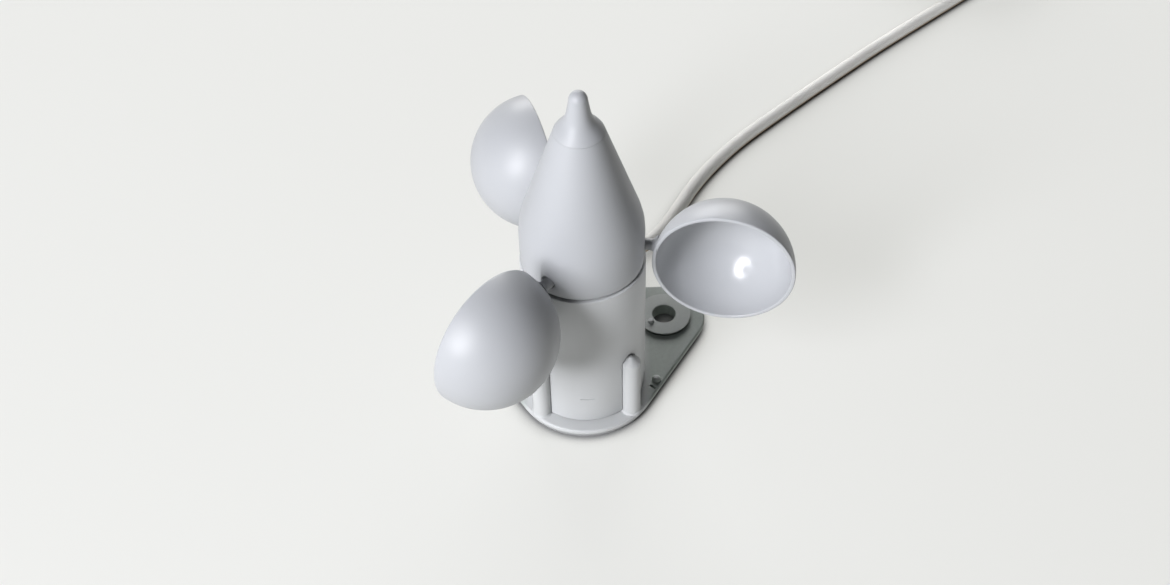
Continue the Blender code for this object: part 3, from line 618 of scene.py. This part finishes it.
def coil_points(centre, top):
    """The coil's turns, in three layers from its outer turn, and the tail that lies across its top."""
    span = TURN_PITCH * TURNS_ACROSS
    angle = math.radians(COIL_START_ANGLE)
    turn_step = 2.0 * math.pi / TURN_STEPS
    layers = ((COIL_OUTER_TURN, -1), (COIL_OUTER_TURN - span, 1), (COIL_OUTER_TURN, -1))
    places = []
    for layer, (begin, sign) in enumerate(layers):
        height = COIL_FIRST_LAYER + layer * TURN_PITCH
        for step in range(TURNS_ACROSS * TURN_STEPS):
            places.append((angle, begin + sign * TURN_PITCH * step / TURN_STEPS, height))
            angle += turn_step
        if layer == 2:
            break
        for step in range(TURN_STEPS):
            risen = math.sqrt(1.0 - (1.0 - step / TURN_STEPS) ** 2)
            places.append((angle, begin + sign * span, height + TURN_PITCH * risen))
            angle += turn_step
    tail_start = math.radians(TAIL_START_ANGLE - COIL_START_ANGLE)
    spread = math.radians(TAIL_END_ANGLE - TAIL_START_ANGLE)
    inner = COIL_OUTER_TURN - span
    layer_height = places[-1][2]
    rise = top + TAIL_ABOVE_COIL - layer_height
    climb = round(tail_start / turn_step)
    for step in range(climb):
        share = step / climb
        eased = share * share * (3.0 - 2.0 * share)
        radius = inner + (TAIL_RADII[0] - inner) * share * share
        places.append((angle + tail_start * share, radius, layer_height + rise * eased))
    angle += tail_start
    steps = round(spread / turn_step)
    for step in range(steps + 1):
        share = step / steps
        radius = TAIL_RADII[0] + (TAIL_RADII[1] - TAIL_RADII[0]) * share
        places.append((angle + spread * share, radius, layer_height + rise))
    return [
        Vector((centre.x + r * math.cos(a), centre.y + r * math.sin(a), z)) for a, r, z in places
    ]


def make_cable(jacket):
    """The free cable from inside the housing to its stripped end on the coil."""
    low, high = (Vector(corner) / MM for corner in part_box("cable_coil"))
    free = smooth_route(CABLE_ROUTE, ROUTE_SPACING)
    coil = coil_points((low + high) / 2.0, high.z)
    cable = tube("signal_cable", free + coil, CABLE_RADIUS)
    finish_piece(cable, "stand", jacket, "cable_lead", "cable_coil", "cable_tail")
    return cable


def make_tie(nylon):
    """The nylon tie round the coil: a closed flat band with rounded corners."""
    coil_low, coil_high = (Vector(corner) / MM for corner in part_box("cable_coil"))
    centre = (coil_low + coil_high) / 2.0
    low, high = (Vector(corner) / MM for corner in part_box("coil_tie"))
    inner = centre.y - high.y
    outer = centre.y - low.y
    half = TIE_HALF_WIDTH
    left = inner + TIE_THICKNESS
    right = outer - TIE_THICKNESS
    floor = low.z + TIE_THICKNESS * 0.6
    ceiling = high.z - TIE_THICKNESS * 0.8
    loop = ((inner, low.z, 3.0), (outer, low.z, 3.0), (outer, high.z, 3.0), (inner, high.z, 3.0))
    hole = ((left, floor, 2.2), (right, floor, 2.2), (right, ceiling, 2.2), (left, ceiling, 2.2))
    outline = rounded(loop, closed=True)
    hollow = rounded(hole, closed=True)
    upright = (turned_by(90.0, "X"), turned_by(-90.0), shifted(centre.x, centre.y))
    band = solid("coil_cable_tie", stacked([(-half, outline), (half, outline)]), *upright)
    inside = solid("tie_hollow", stacked([(-half - 1.0, hollow), (half + 1.0, hollow)]), *upright)
    combine(band, "DIFFERENCE", [inside])
    finish_piece(band, "stand", nylon, "coil_tie")
    return band


def make_grommet(rubber):
    """The moulded grommet with a ribbed, tapering sleeve around the cable."""
    low, high = (Vector(corner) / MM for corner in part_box("cable_grommet"))
    sleeve = GROMMET_SEAT + GROMMET_OUTER_FLANGE
    corners = [
        (GROMMET_BORE, low.y, 0.1),
        (GROMMET_FLANGE, low.y, 0.4),
        (GROMMET_FLANGE, low.y + GROMMET_INNER_FLANGE, 0.3),
        (GROMMET_NECK, low.y + GROMMET_INNER_FLANGE, 0.2),
        (GROMMET_NECK, GROMMET_SEAT, 0.1),
        (GROMMET_FLANGE, GROMMET_SEAT, 0.25),
        (GROMMET_FLANGE, sleeve, 0.4),
    ]
    length = high.y - GROMMET_SEAT - GROMMET_OUTER_FLANGE
    for rib in range(SLEEVE_RIBS):
        start = sleeve + length * rib / SLEEVE_RIBS
        radius = SLEEVE_START - SLEEVE_TAPER * rib / SLEEVE_RIBS
        corners.append((radius - RIB_DEPTH, start + 0.25, 0.15))
        corners.append((radius - RIB_DEPTH, start + 0.65, 0.15))
        corners.append((radius, start + 0.8, 0.2))
        corners.append((radius - 0.15, start + length / SLEEVE_RIBS - 0.05, 0.25))
    corners.append((GROMMET_BORE, high.y, 0.1))
    upright = (turned_by(-90.0, "X"), shifted(0.0, 0.0, CABLE_HEIGHT))
    grommet = solid("grommet_sleeve", turned(rounded(corners, closed=True), sides=96), *upright)
    finish_piece(grommet, "stand", rubber, "cable_grommet")
    return grommet


def make_rotor(plastic):
    """The rotor's skirt and cone."""
    low, high = (Vector(corner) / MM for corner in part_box("rotor_shell"))
    bottom = low.z
    skirt = high.x
    slope = (CONE_START[0] - CONE_END[0]) / (CONE_END[1] - CONE_START[1])
    corner = CONE_START[1] - (skirt - CONE_START[0]) / slope
    inner = CONE_START[0] - slope * (SHELL_CEILING - CONE_START[1]) - SHELL_WALL
    corners = (
        (skirt - 0.2, bottom, 0.35),
        (skirt, bottom + 3.0, 8.0),
        (skirt, corner, 24.0),
        (CONE_END[0], CONE_END[1], 0.06),
        (6.2, CONE_END[1], 0.15),
        (6.2, 108.0, 0.2),
        (2.3, 108.0, 0.1),
        (2.3, 97.1, 0.1),
        (3.6, 97.1, 0.2),
        (3.6, SHELL_CEILING, 0.3),
        (inner, SHELL_CEILING, 0.8),
        (skirt - SHELL_WALL, corner, 22.0),
        (skirt - SHELL_WALL - 0.2, bottom, 0.35),
    )
    shell = solid("rotor_cone", turned(rounded(corners, closed=True), sides=192))
    sockets = []
    holes = []
    for angle in CUP_ANGLES:
        outwards = (turned_by(90.0, "Y"), shifted(0.0, STEM_BEHIND_RIM, STEM_HEIGHT), turned_by(angle))
        sockets.append(solid("socket", rod(SOCKET_RADIUS, SOCKET_START, skirt - 1.2, edge=0.2), *outwards))
        corners = (
            (0.0, 10.0, 0.0),
            (STEM_HOLE_RADIUS, 10.0, 0.0),
            (STEM_HOLE_RADIUS, skirt - 0.9, 0.5),
            (STEM_HOLE_MOUTH, skirt + 0.2, 0.0),
            (STEM_HOLE_MOUTH, 24.0, 0.0),
            (0.0, 24.0, 0.0),
        )
        holes.append(solid("hole", turned(rounded(corners), sides=48), *outwards))
    for angle in CUP_ANGLES:
        below = (shifted(CUP_SCREW_CIRCLE, STEM_BEHIND_RIM), turned_by(angle))
        holes.append(solid("hole", rod(CUP_SCREW_HOLE_RADIUS, 60.0, STEM_HEIGHT - 1.0), *below))
    combine(shell, "UNION", sockets)
    combine(shell, "DIFFERENCE", holes)
    finish_piece(shell, "rotor", plastic, "rotor_shell")


def make_nose(plastic):
    """The cap pressed into the top of the rotor's cone, with its drawn-out tip."""
    high = Vector(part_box("nose_cap")[1]) / MM
    seam = CONE_END[1] + 0.05
    tip = []
    for step in range(NIPPLE_STEPS + 1):
        angle = math.radians(90.0 * step / NIPPLE_STEPS)
        height = high.z - NIPPLE_RADIUS * (1.0 - math.cos(angle))
        tip.append((NIPPLE_RADIUS * math.sin(angle), height))
    tip[0] = (0.0, high.z)
    side = rounded(
        (
            (NIPPLE_RADIUS, tip[-1][1], 0.0),
            (3.55, 124.0, 16.0),
            (4.35, 120.8, 9.0),
            (6.9, 117.8, 5.0),
            (CONE_END[0], seam, 0.0),
        )
    )
    inside = [(5.9, seam), (5.9, 111.0), (4.9, 111.0), (4.9, 117.0), (3.4, 119.5), (0.0, 121.5)]
    nose = solid("rotor_nose", turned(tip + side[1:] + inside))
    finish_piece(nose, "rotor", plastic, "nose_cap", sharp=40.0)


def cup_outline():
    """The cup's wall as (radius, depth) points: outer sphere, softened rim, inner sphere."""
    inner = CUP_RADIUS - CUP_WALL
    outline = [(0.0, CUP_RADIUS)]
    for step in range(1, CUP_STEPS):
        angle = math.radians(89.0 * step / CUP_STEPS)
        outline.append((CUP_RADIUS * math.sin(angle), CUP_RADIUS * math.cos(angle)))
    for centre, start in ((CUP_RADIUS - CUP_EDGE, 0.0), (inner + CUP_EDGE, -90.0)):
        for step in range(CUP_EDGE_STEPS + 1):
            angle = math.radians(start - 90.0 / CUP_EDGE_STEPS * step)
            outline.append((centre + CUP_EDGE * math.cos(angle), CUP_EDGE + CUP_EDGE * math.sin(angle)))
    for step in range(CUP_STEPS):
        angle = math.radians(88.0 * (1.0 - step / CUP_STEPS))
        outline.append((inner * math.sin(angle), inner * math.cos(angle)))
    outline.append((0.0, inner))
    return outline


def polish_bowl(cup, angle, bowl):
    """Gives the inside of a cup its glossier finish."""
    cup.data.materials.append(bowl)
    centre = turned_by(angle) @ Vector((CUP_CIRCLE, 0.0, CUP_HEIGHT)) * MM
    limit = (CUP_RADIUS - CUP_WALL + 0.2) * MM
    for face in cup.data.polygons:
        spoke = face.center - centre
        if spoke.length < limit and spoke.dot(face.normal) < 0.0:
            face.material_index = 1


def make_cups(plastic, bowl):
    """The cups with their stems."""
    for number, angle in enumerate(CUP_ANGLES, 1):
        facing = (turned_by(-90.0, "X"), shifted(CUP_CIRCLE, 0.0, CUP_HEIGHT), turned_by(angle))
        cup = solid(f"cup_shell_{number}", turned(cup_outline(), sides=160), *facing)
        outwards = (turned_by(90.0, "Y"), shifted(0.0, STEM_BEHIND_RIM, STEM_HEIGHT), turned_by(angle))
        root = CUP_CIRCLE - CUP_RADIUS
        corners = (
            (0.0, STEM_INNER_END, 0.0),
            (STEM_RADIUS, STEM_INNER_END, 0.3),
            (STEM_RADIUS, root - 0.2, 1.6),
            (STEM_RADIUS + 1.6, root + 1.4, 0.0),
            (0.0, root + 1.4, 0.0),
        )
        stem = solid("stem", turned(rounded(corners), sides=48), *outwards)
        combine(cup, "UNION", [stem])
        finish_piece(cup, "rotor", plastic, f"cup_{number}")
        polish_bowl(cup, angle, bowl)


def make_housing(plastic):
    """The housing tube with its flutes, deck, bearing tower, cable boss and front mark."""
    low, high = (Vector(corner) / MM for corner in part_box("housing"))
    radius = high.x
    bottom = low.z
    corners = (
        (HOUSING_BORE, bottom, 0.2),
        (radius, bottom, 0.3),
        (radius, HOUSING_TOP, 0.5),
        (TOWER_RADIUS, HOUSING_TOP, 1.2),
        (TOWER_RADIUS, high.z, 0.5),
        (BEARING_SEAT_RADIUS, high.z, 0.15),
        (BEARING_SEAT_RADIUS, BEARING_SEAT_FLOOR, 0.15),
        (SHAFT_BORE, BEARING_SEAT_FLOOR, 0.15),
        (SHAFT_BORE, HOUSING_CEILING, 0.3),
        (HOUSING_BORE, HOUSING_CEILING, 1.5),
    )
    housing = solid("housing_tube", turned(rounded(corners, closed=True), sides=192))
    upright = (turned_by(-90.0, "X"), shifted(0.0, 0.0, CABLE_HEIGHT))
    corners = (
        (0.0, 17.0, 0.0),
        (7.6, 17.0, 0.0),
        (CABLE_BOSS_RADIUS, 20.4, 0.8),
        (CABLE_BOSS_RADIUS, high.y, 0.3),
        (0.0, high.y, 0.0),
    )
    joined = [solid("boss", turned(rounded(corners), sides=64), *upright)]
    for side in (-1, 1):
        standoff = rod(STANDOFF_RADIUS, STANDOFF_END, 60.0, edge=0.2)
        joined.append(solid("standoff", standoff, shifted(side * STANDOFF_X, 0.0)))
    combine(housing, "UNION", joined)
    cuts = []
    corners = (
        (0.0, 2.0, 0.0),
        (FLUTE_RADIUS, 2.0, 0.0),
        (FLUTE_RADIUS, 28.6, 1.5),
        (0.9, 31.1, 1.0),
        (0.0, 31.3, 0.0),
    )
    flute = rounded(corners)
    for angle in CORNER_ANGLES:
        cuts.append(solid("flute", turned(flute, sides=64), shifted(*on_circle(POST_CIRCLE, angle))))
    for angle in BASE_SCREW_ANGLES:
        pilot = rod(BASE_SCREW_RADIUS, 2.0, 15.0)
        cuts.append(solid("pilot", pilot, shifted(*on_circle(BASE_SCREW_CIRCLE, angle))))
    for side in (-1, 1):
        pilot = rod(BOARD_SCREW_RADIUS, 44.0, 53.0)
        cuts.append(solid("pilot", pilot, shifted(side * STANDOFF_X, 0.0)))
    cuts.append(solid("outlet", rod(OUTLET_RADIUS, 12.0, 25.0), *upright))
    half = MARK_HALF_WIDTH
    dash = block((-half, -radius - 1.0, -0.3), (half, -radius + 0.3, 0.3), 0.1)
    cuts.append(solid("dash", dash, shifted(0.0, 0.0, MARK_HEIGHT), turned_by(1.0)))
    combine(housing, "DIFFERENCE", cuts)
    finish_piece(housing, "stand", plastic, "housing")


def plate_outline(inset):
    """The base plate's outline: three arcs joined by their common tangents."""
    front = FRONT_RADIUS - inset
    lug = LUG_RADIUS - inset
    reach = math.hypot(LUG_X, LUG_Y)
    side = math.atan2(LUG_Y, LUG_X) - math.acos((front - lug) / reach)
    arcs = (
        ((0.0, 0.0), front, -math.pi - side, side, 72),
        ((LUG_X, LUG_Y), lug, side, math.pi / 2.0, 40),
        ((-LUG_X, LUG_Y), lug, math.pi / 2.0, math.pi - side, 40),
    )
    outline = []
    for (x, y), radius, start, end, steps in arcs:
        for step in range(steps + 1):
            angle = start + (end - start) * step / steps
            outline.append((x + radius * math.cos(angle), y + radius * math.sin(angle)))
    return outline


def make_base(plastic):
    """The base plate with its lugs, posts, spigot and small moulded features."""
    high = Vector(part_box("base_plate")[1]) / MM
    turning = PLATE_THICKNESS - PLATE_EDGE
    levels = [*PLATE_UNDERCUT, (turning, 0.0)]
    for step in range(1, PLATE_EDGE_STEPS + 1):
        angle = math.radians(90.0 / PLATE_EDGE_STEPS * step)
        levels.append((turning + PLATE_EDGE * math.sin(angle), PLATE_EDGE - PLATE_EDGE * math.cos(angle)))
    base = solid("base_moulding", stacked([(z, plate_outline(inset)) for z, inset in levels]))
    sunk = PLATE_THICKNESS - 1.0
    post = rounded(
        (
            (0.0, sunk, 0.0),
            (POST_RADIUS + 0.5, sunk, 0.0),
            (POST_RADIUS + 0.5, PLATE_THICKNESS, 0.0),
            (POST_RADIUS, PLATE_THICKNESS + 0.5, 0.5),
            (POST_RADIUS, POST_SHOULDER, 0.3),
            (0.6, high.z - 0.15, 0.4),
            (0.0, high.z, 0.0),
        )
    )
    boss = rounded(
        (
            (0.0, 2.2, 0.0),
            (8.3, 2.2, 0.0),
            (8.6, 4.6, 0.0),
            (BOSS_RADIUS, 4.8, 0.1),
            (BOSS_RADIUS, BOSS_TOP, 0.15),
            (0.0, BOSS_TOP, 0.0),
        )
    )
    spigot = rounded(
        (
            (13.6, sunk, 0.0),
            (15.6, sunk, 0.0),
            (15.6, 4.9, 0.1),
            (14.3, 4.9, 0.1),
            (14.3, 6.7, 0.1),
            (15.6, 6.7, 0.1),
            (15.6, 7.4, 0.2),
            (13.6, 7.4, 0.2),
        ),
        closed=True,
    )
    peg = rounded(((0.0, sunk, 0.0), (1.5, sunk, 0.0), (1.5, 4.6, 0.3), (0.9, 5.4, 0.6), (0.0, 5.5, 0.0)))
    pip = rounded(((0.0, 4.8, 0.0), (1.1, 4.8, 0.0), (1.1, 6.0, 0.45), (0.0, 6.0, 0.0)))
    inner, outer = MOAT_RADII
    moat = ((inner, 3.2), (outer, 3.2), (outer, 5.0), (inner, 5.0))
    hole = rounded(
        (
            (0.0, -2.0, 0.0),
            (4.5, -2.0, 0.0),
            (4.5, -0.1, 0.0),
            (4.0, 0.5, 0.3),
            (4.0, BOSS_TOP - 0.3, 0.2),
            (4.25, BOSS_TOP + 0.05, 0.0),
            (4.25, 9.0, 0.0),
            (0.0, 9.0, 0.0),
        )
    )
    screw_hole = rounded(
        (
            (0.0, -2.0, 0.0),
            (3.0, -2.0, 0.0),
            (3.0, 2.4, 0.1),
            (BASE_SCREW_RADIUS, 2.4, 0.1),
            (BASE_SCREW_RADIUS, 6.0, 0.0),
            (0.0, 6.0, 0.0),
        )
    )
    sides = (-1, 1)
    joined = []
    for angle in CORNER_ANGLES:
        joined.append(solid("post", turned(post, sides=64), shifted(*on_circle(POST_CIRCLE, angle))))
    for side in sides:
        joined.append(solid("boss", turned(boss, sides=96), shifted(side * LUG_X, LUG_Y)))
    joined.append(solid("spigot", turned(spigot, sides=128)))
    for side in sides:
        joined.append(solid("peg", turned(peg, sides=32), shifted(side * PEG_PLACE[0], PEG_PLACE[1])))
    moats = []
    pips = []
    cuts = []
    for side in sides:
        moats.append(solid("moat", turned(moat, sides=96), shifted(side * LUG_X, LUG_Y)))
        pip_place = shifted(side * (LUG_X + PIP_FROM_HOLE[0]), LUG_Y + PIP_FROM_HOLE[1])
        pips.append(solid("pip", turned(pip, sides=32), pip_place))
        cuts.append(solid("hole", turned(hole, sides=64), shifted(side * LUG_X, LUG_Y)))
        slot = block((-1.3, -0.4, 2.5), (1.3, 0.4, 5.0))
        slot_place = shifted(side * SLOT_PLACE[0], SLOT_PLACE[1])
        cuts.append(solid("slot", slot, turned_by(-SLOT_ANGLE * side), slot_place))
    for angle in BASE_SCREW_ANGLES:
        sunk_place = shifted(*on_circle(BASE_SCREW_CIRCLE, angle))
        cuts.append(solid("screw_hole", turned(screw_hole, sides=48), sunk_place))
    combine(base, "DIFFERENCE", moats)
    combine(base, "UNION", joined)
    combine(base, "UNION", pips)
    combine(base, "DIFFERENCE", cuts)
    finish_piece(base, "stand", plastic, "base_plate")


# ---------------------------------------------------------------- studio


def make_camera():
    """The camera at the photographed view."""
    camera = bpy.data.objects.new("camera", bpy.data.cameras.new("camera"))
    bpy.context.scene.collection.objects.link(camera)
    camera.data.lens = CAMERA_LENS
    camera.data.sensor_width = CAMERA_SENSOR
    camera.data.clip_start = 0.01
    facing = turned_by(CAMERA_TURN) @ turned_by(CAMERA_TILT, "X") @ turned_by(CAMERA_ROLL)
    camera.matrix_world = Matrix.Translation(Vector(CAMERA_PLACE) * MM) @ facing
    bpy.context.scene.camera = camera


def make_floor():
    """A plain pale floor. Its glow keeps shadows faint and fades where the object stands close."""
    made, tree, shader = new_material("floor_paper")
    place = add(tree, "ShaderNodeTexCoord").outputs["Object"]
    tone = noise(tree, place, 3.0, 2.0)
    colour = blended(tree, tone, *FLOOR_GREYS)
    tree.links.new(colour, shader.inputs["Base Color"])
    shader.inputs["Roughness"].default_value = 0.9
    shader.inputs["Specular IOR Level"].default_value = 0.1
    shader.inputs["Emission Color"].default_value = FLOOR_TINT
    corners = add(tree, "ShaderNodeAmbientOcclusion", {"Distance": FLOOR_SHADOW_REACH}, samples=8)
    glow = between(tree, corners.outputs["AO"], 0.0, FLOOR_GLOW, *FLOOR_SHADOW_RANGE)
    tree.links.new(glow, shader.inputs["Emission Strength"])
    mesh = bmesh.new()
    bmesh.ops.create_grid(mesh, x_segments=1, y_segments=1, size=FLOOR_HALF_WIDTH)
    floor = solid("floor", mesh)
    floor.data.materials.append(made)


def make_backdrop():
    """A pale wall far round the floor, for low views: it's seen directly, and it lights nothing."""
    made, _, shader = new_material("backdrop_paper")
    shader.inputs["Base Color"].default_value = (0.0, 0.0, 0.0, 1.0)
    shader.inputs["Specular IOR Level"].default_value = 0.0
    shader.inputs["Emission Color"].default_value = FLOOR_TINT
    shader.inputs["Emission Strength"].default_value = FLOOR_GLOW
    mesh = bmesh.new()
    radius, height = BACKDROP_SIZE
    bmesh.ops.create_cone(mesh, segments=96, radius1=radius, radius2=radius, depth=height)
    wall = solid("backdrop", mesh, shifted(0.0, 0.0, 0.5 * height))
    wall.data.materials.append(made)
    wall.visible_diffuse = False
    wall.visible_glossy = False
    wall.visible_shadow = False


def area_light(name, direction, size, power, colour):
    """A soft light of a (width, height) that faces the rotor from its direction."""
    light = bpy.data.lights.new(name, "AREA")
    light.shape = "RECTANGLE"
    light.size, light.size_y = size
    light.energy = power
    light.color = colour
    made = bpy.data.objects.new(name, light)
    bpy.context.scene.collection.objects.link(made)
    across, raised = (math.radians(degrees) for degrees in direction)
    flat = math.cos(raised) * LIGHT_DISTANCE
    height = LIGHT_DISTANCE * math.sin(raised)
    place = Vector((flat * math.sin(across), flat * math.cos(across), height))
    made.location = place + Vector(LIGHT_TARGET)
    made.rotation_euler = (-place).to_track_quat("-Z", "Y").to_euler()
    return light


def lamp_reach(tree, place, centre, near, far):
    """How far a point of a light's face lies from a centre on it: 0 within near, 1 beyond far."""
    inputs = {0: place, 1: (*centre, 0.0)}
    across = add(tree, "ShaderNodeVectorMath", inputs, operation="SUBTRACT").outputs["Vector"]
    inputs = {0: across, 1: (1.0, 1.0, 0.0)}
    flat = add(tree, "ShaderNodeVectorMath", inputs, operation="MULTIPLY").outputs["Vector"]
    reach = add(tree, "ShaderNodeVectorMath", {0: flat}, operation="LENGTH").outputs["Value"]
    return between(tree, reach, 0.0, 1.0, near, far)


def shape_key(light):
    """The key is a soft box: it fades to its edges, and its lamp's mount leaves a dark notch on one side."""
    light.use_nodes = True
    tree = light.node_tree
    place = add(tree, "ShaderNodeNewGeometry").outputs["Parametric"]
    outer = lamp_reach(tree, place, (0.5, 0.5), *KEY_FADE)
    faded = add(tree, "ShaderNodeMath", {0: 1.0, 1: outer}, operation="SUBTRACT")
    notch = lamp_reach(tree, place, KEY_NOTCH, *KEY_NOTCH_REACH)
    glow = add(tree, "ShaderNodeMath", {0: faded.outputs[0], 1: notch}, operation="MULTIPLY")
    tree.links.new(glow.outputs[0], tree.nodes["Emission"].inputs["Strength"])


def make_studio():
    """Soft light from the front left and from behind, and a dim even surround."""
    world = bpy.data.worlds.new("surround")
    world.use_nodes = True
    background = world.node_tree.nodes["Background"]
    background.inputs["Color"].default_value = SURROUND_COLOUR
    background.inputs["Strength"].default_value = SURROUND_STRENGTH
    bpy.context.scene.world = world
    shape_key(area_light("key", KEY_DIRECTION, KEY_SIZE, KEY_POWER, KEY_TINT))
    area_light("back", BACK_DIRECTION, BACK_SIZE, BACK_POWER, BACK_TINT)
    bpy.context.scene.view_settings.view_transform = "Standard"


def finish_cad_nodes(nylon):
    """Gives each CAD node that stays its own material."""
    looks = {
        "steel": turned_metal("turned_steel", (0.62, 0.62, 0.64), 0.28),
        "cage_brass": turned_metal("pressed_brass", (0.72, 0.55, 0.27), 0.32),
        "tinned_copper": turned_metal("tinned_copper", (0.74, 0.73, 0.71), 0.3),
        "ferrite": rubber_look("ferrite", (0.045, 0.045, 0.05)),
        "nylon": nylon,
        "grey_rubber": rubber_look("grey_rubber", (0.2, 0.21, 0.22)),
        "laminate": board_look("laminate", (0.03, 0.17, 0.08)),
        "reed_glass": glass_look("reed_glass", (0.45, 0.66, 0.5)),
        "terminal_plastic": moulded_plastic("terminal_plastic", (0.04, 0.3, 0.1), 0.4),
        "core_brown": cable_look("brown_core", (0.13, 0.05, 0.025)),
        "core_white": cable_look("white_core", (0.78, 0.78, 0.76)),
    }
    for entry in frame["record"]["subparts"]:
        look = looks.get(entry["material_slot"])
        if not look:
            continue
        node = frame["nodes"][entry["node"]]
        node.data.materials.clear()
        node.data.materials.append(look)


def main():
    """Makes the whole scene on the loaded frame."""
    make_camera()
    # The jacket's second colour is the painted shade on its underside.
    jacket = cable_look("cable_jacket", (0.8, 0.79, 0.75), (0.27, 0.19, 0.11))
    plastic = moulded_plastic("light_grey_plastic", (0.5, 0.51, 0.515), 0.42, mottle=0.04, edge=0.25)
    rotor_plastic = moulded_plastic("rotor_plastic", (0.385, 0.395, 0.41), 0.46, edge=0.25)
    cup_plastic = moulded_plastic("cup_plastic", (0.4, 0.41, 0.425), 0.43, edge=0.2)
    bowl_plastic = moulded_plastic("cup_bowl_plastic", (0.41, 0.42, 0.435), 0.18, grain=0.02)
    # The base's second colour is the lugs' painted shade, darker and greener than the plain one.
    base_plastic = base_look("base_plastic", (0.485, 0.495, 0.495), (0.32, 0.355, 0.33))
    rubber = rubber_look("grommet_rubber", (0.2, 0.21, 0.22))
    nylon = moulded_plastic("natural_nylon", (0.72, 0.71, 0.66), 0.42)
    cable = make_cable(jacket)
    tie = make_tie(nylon)
    grommet = make_grommet(rubber)
    make_rotor(rotor_plastic)
    make_nose(rotor_plastic)
    make_cups(cup_plastic, bowl_plastic)
    make_housing(plastic)
    make_base(base_plastic)
    finish_cad_nodes(nylon)
    make_floor()
    make_backdrop()
    make_studio()


main()
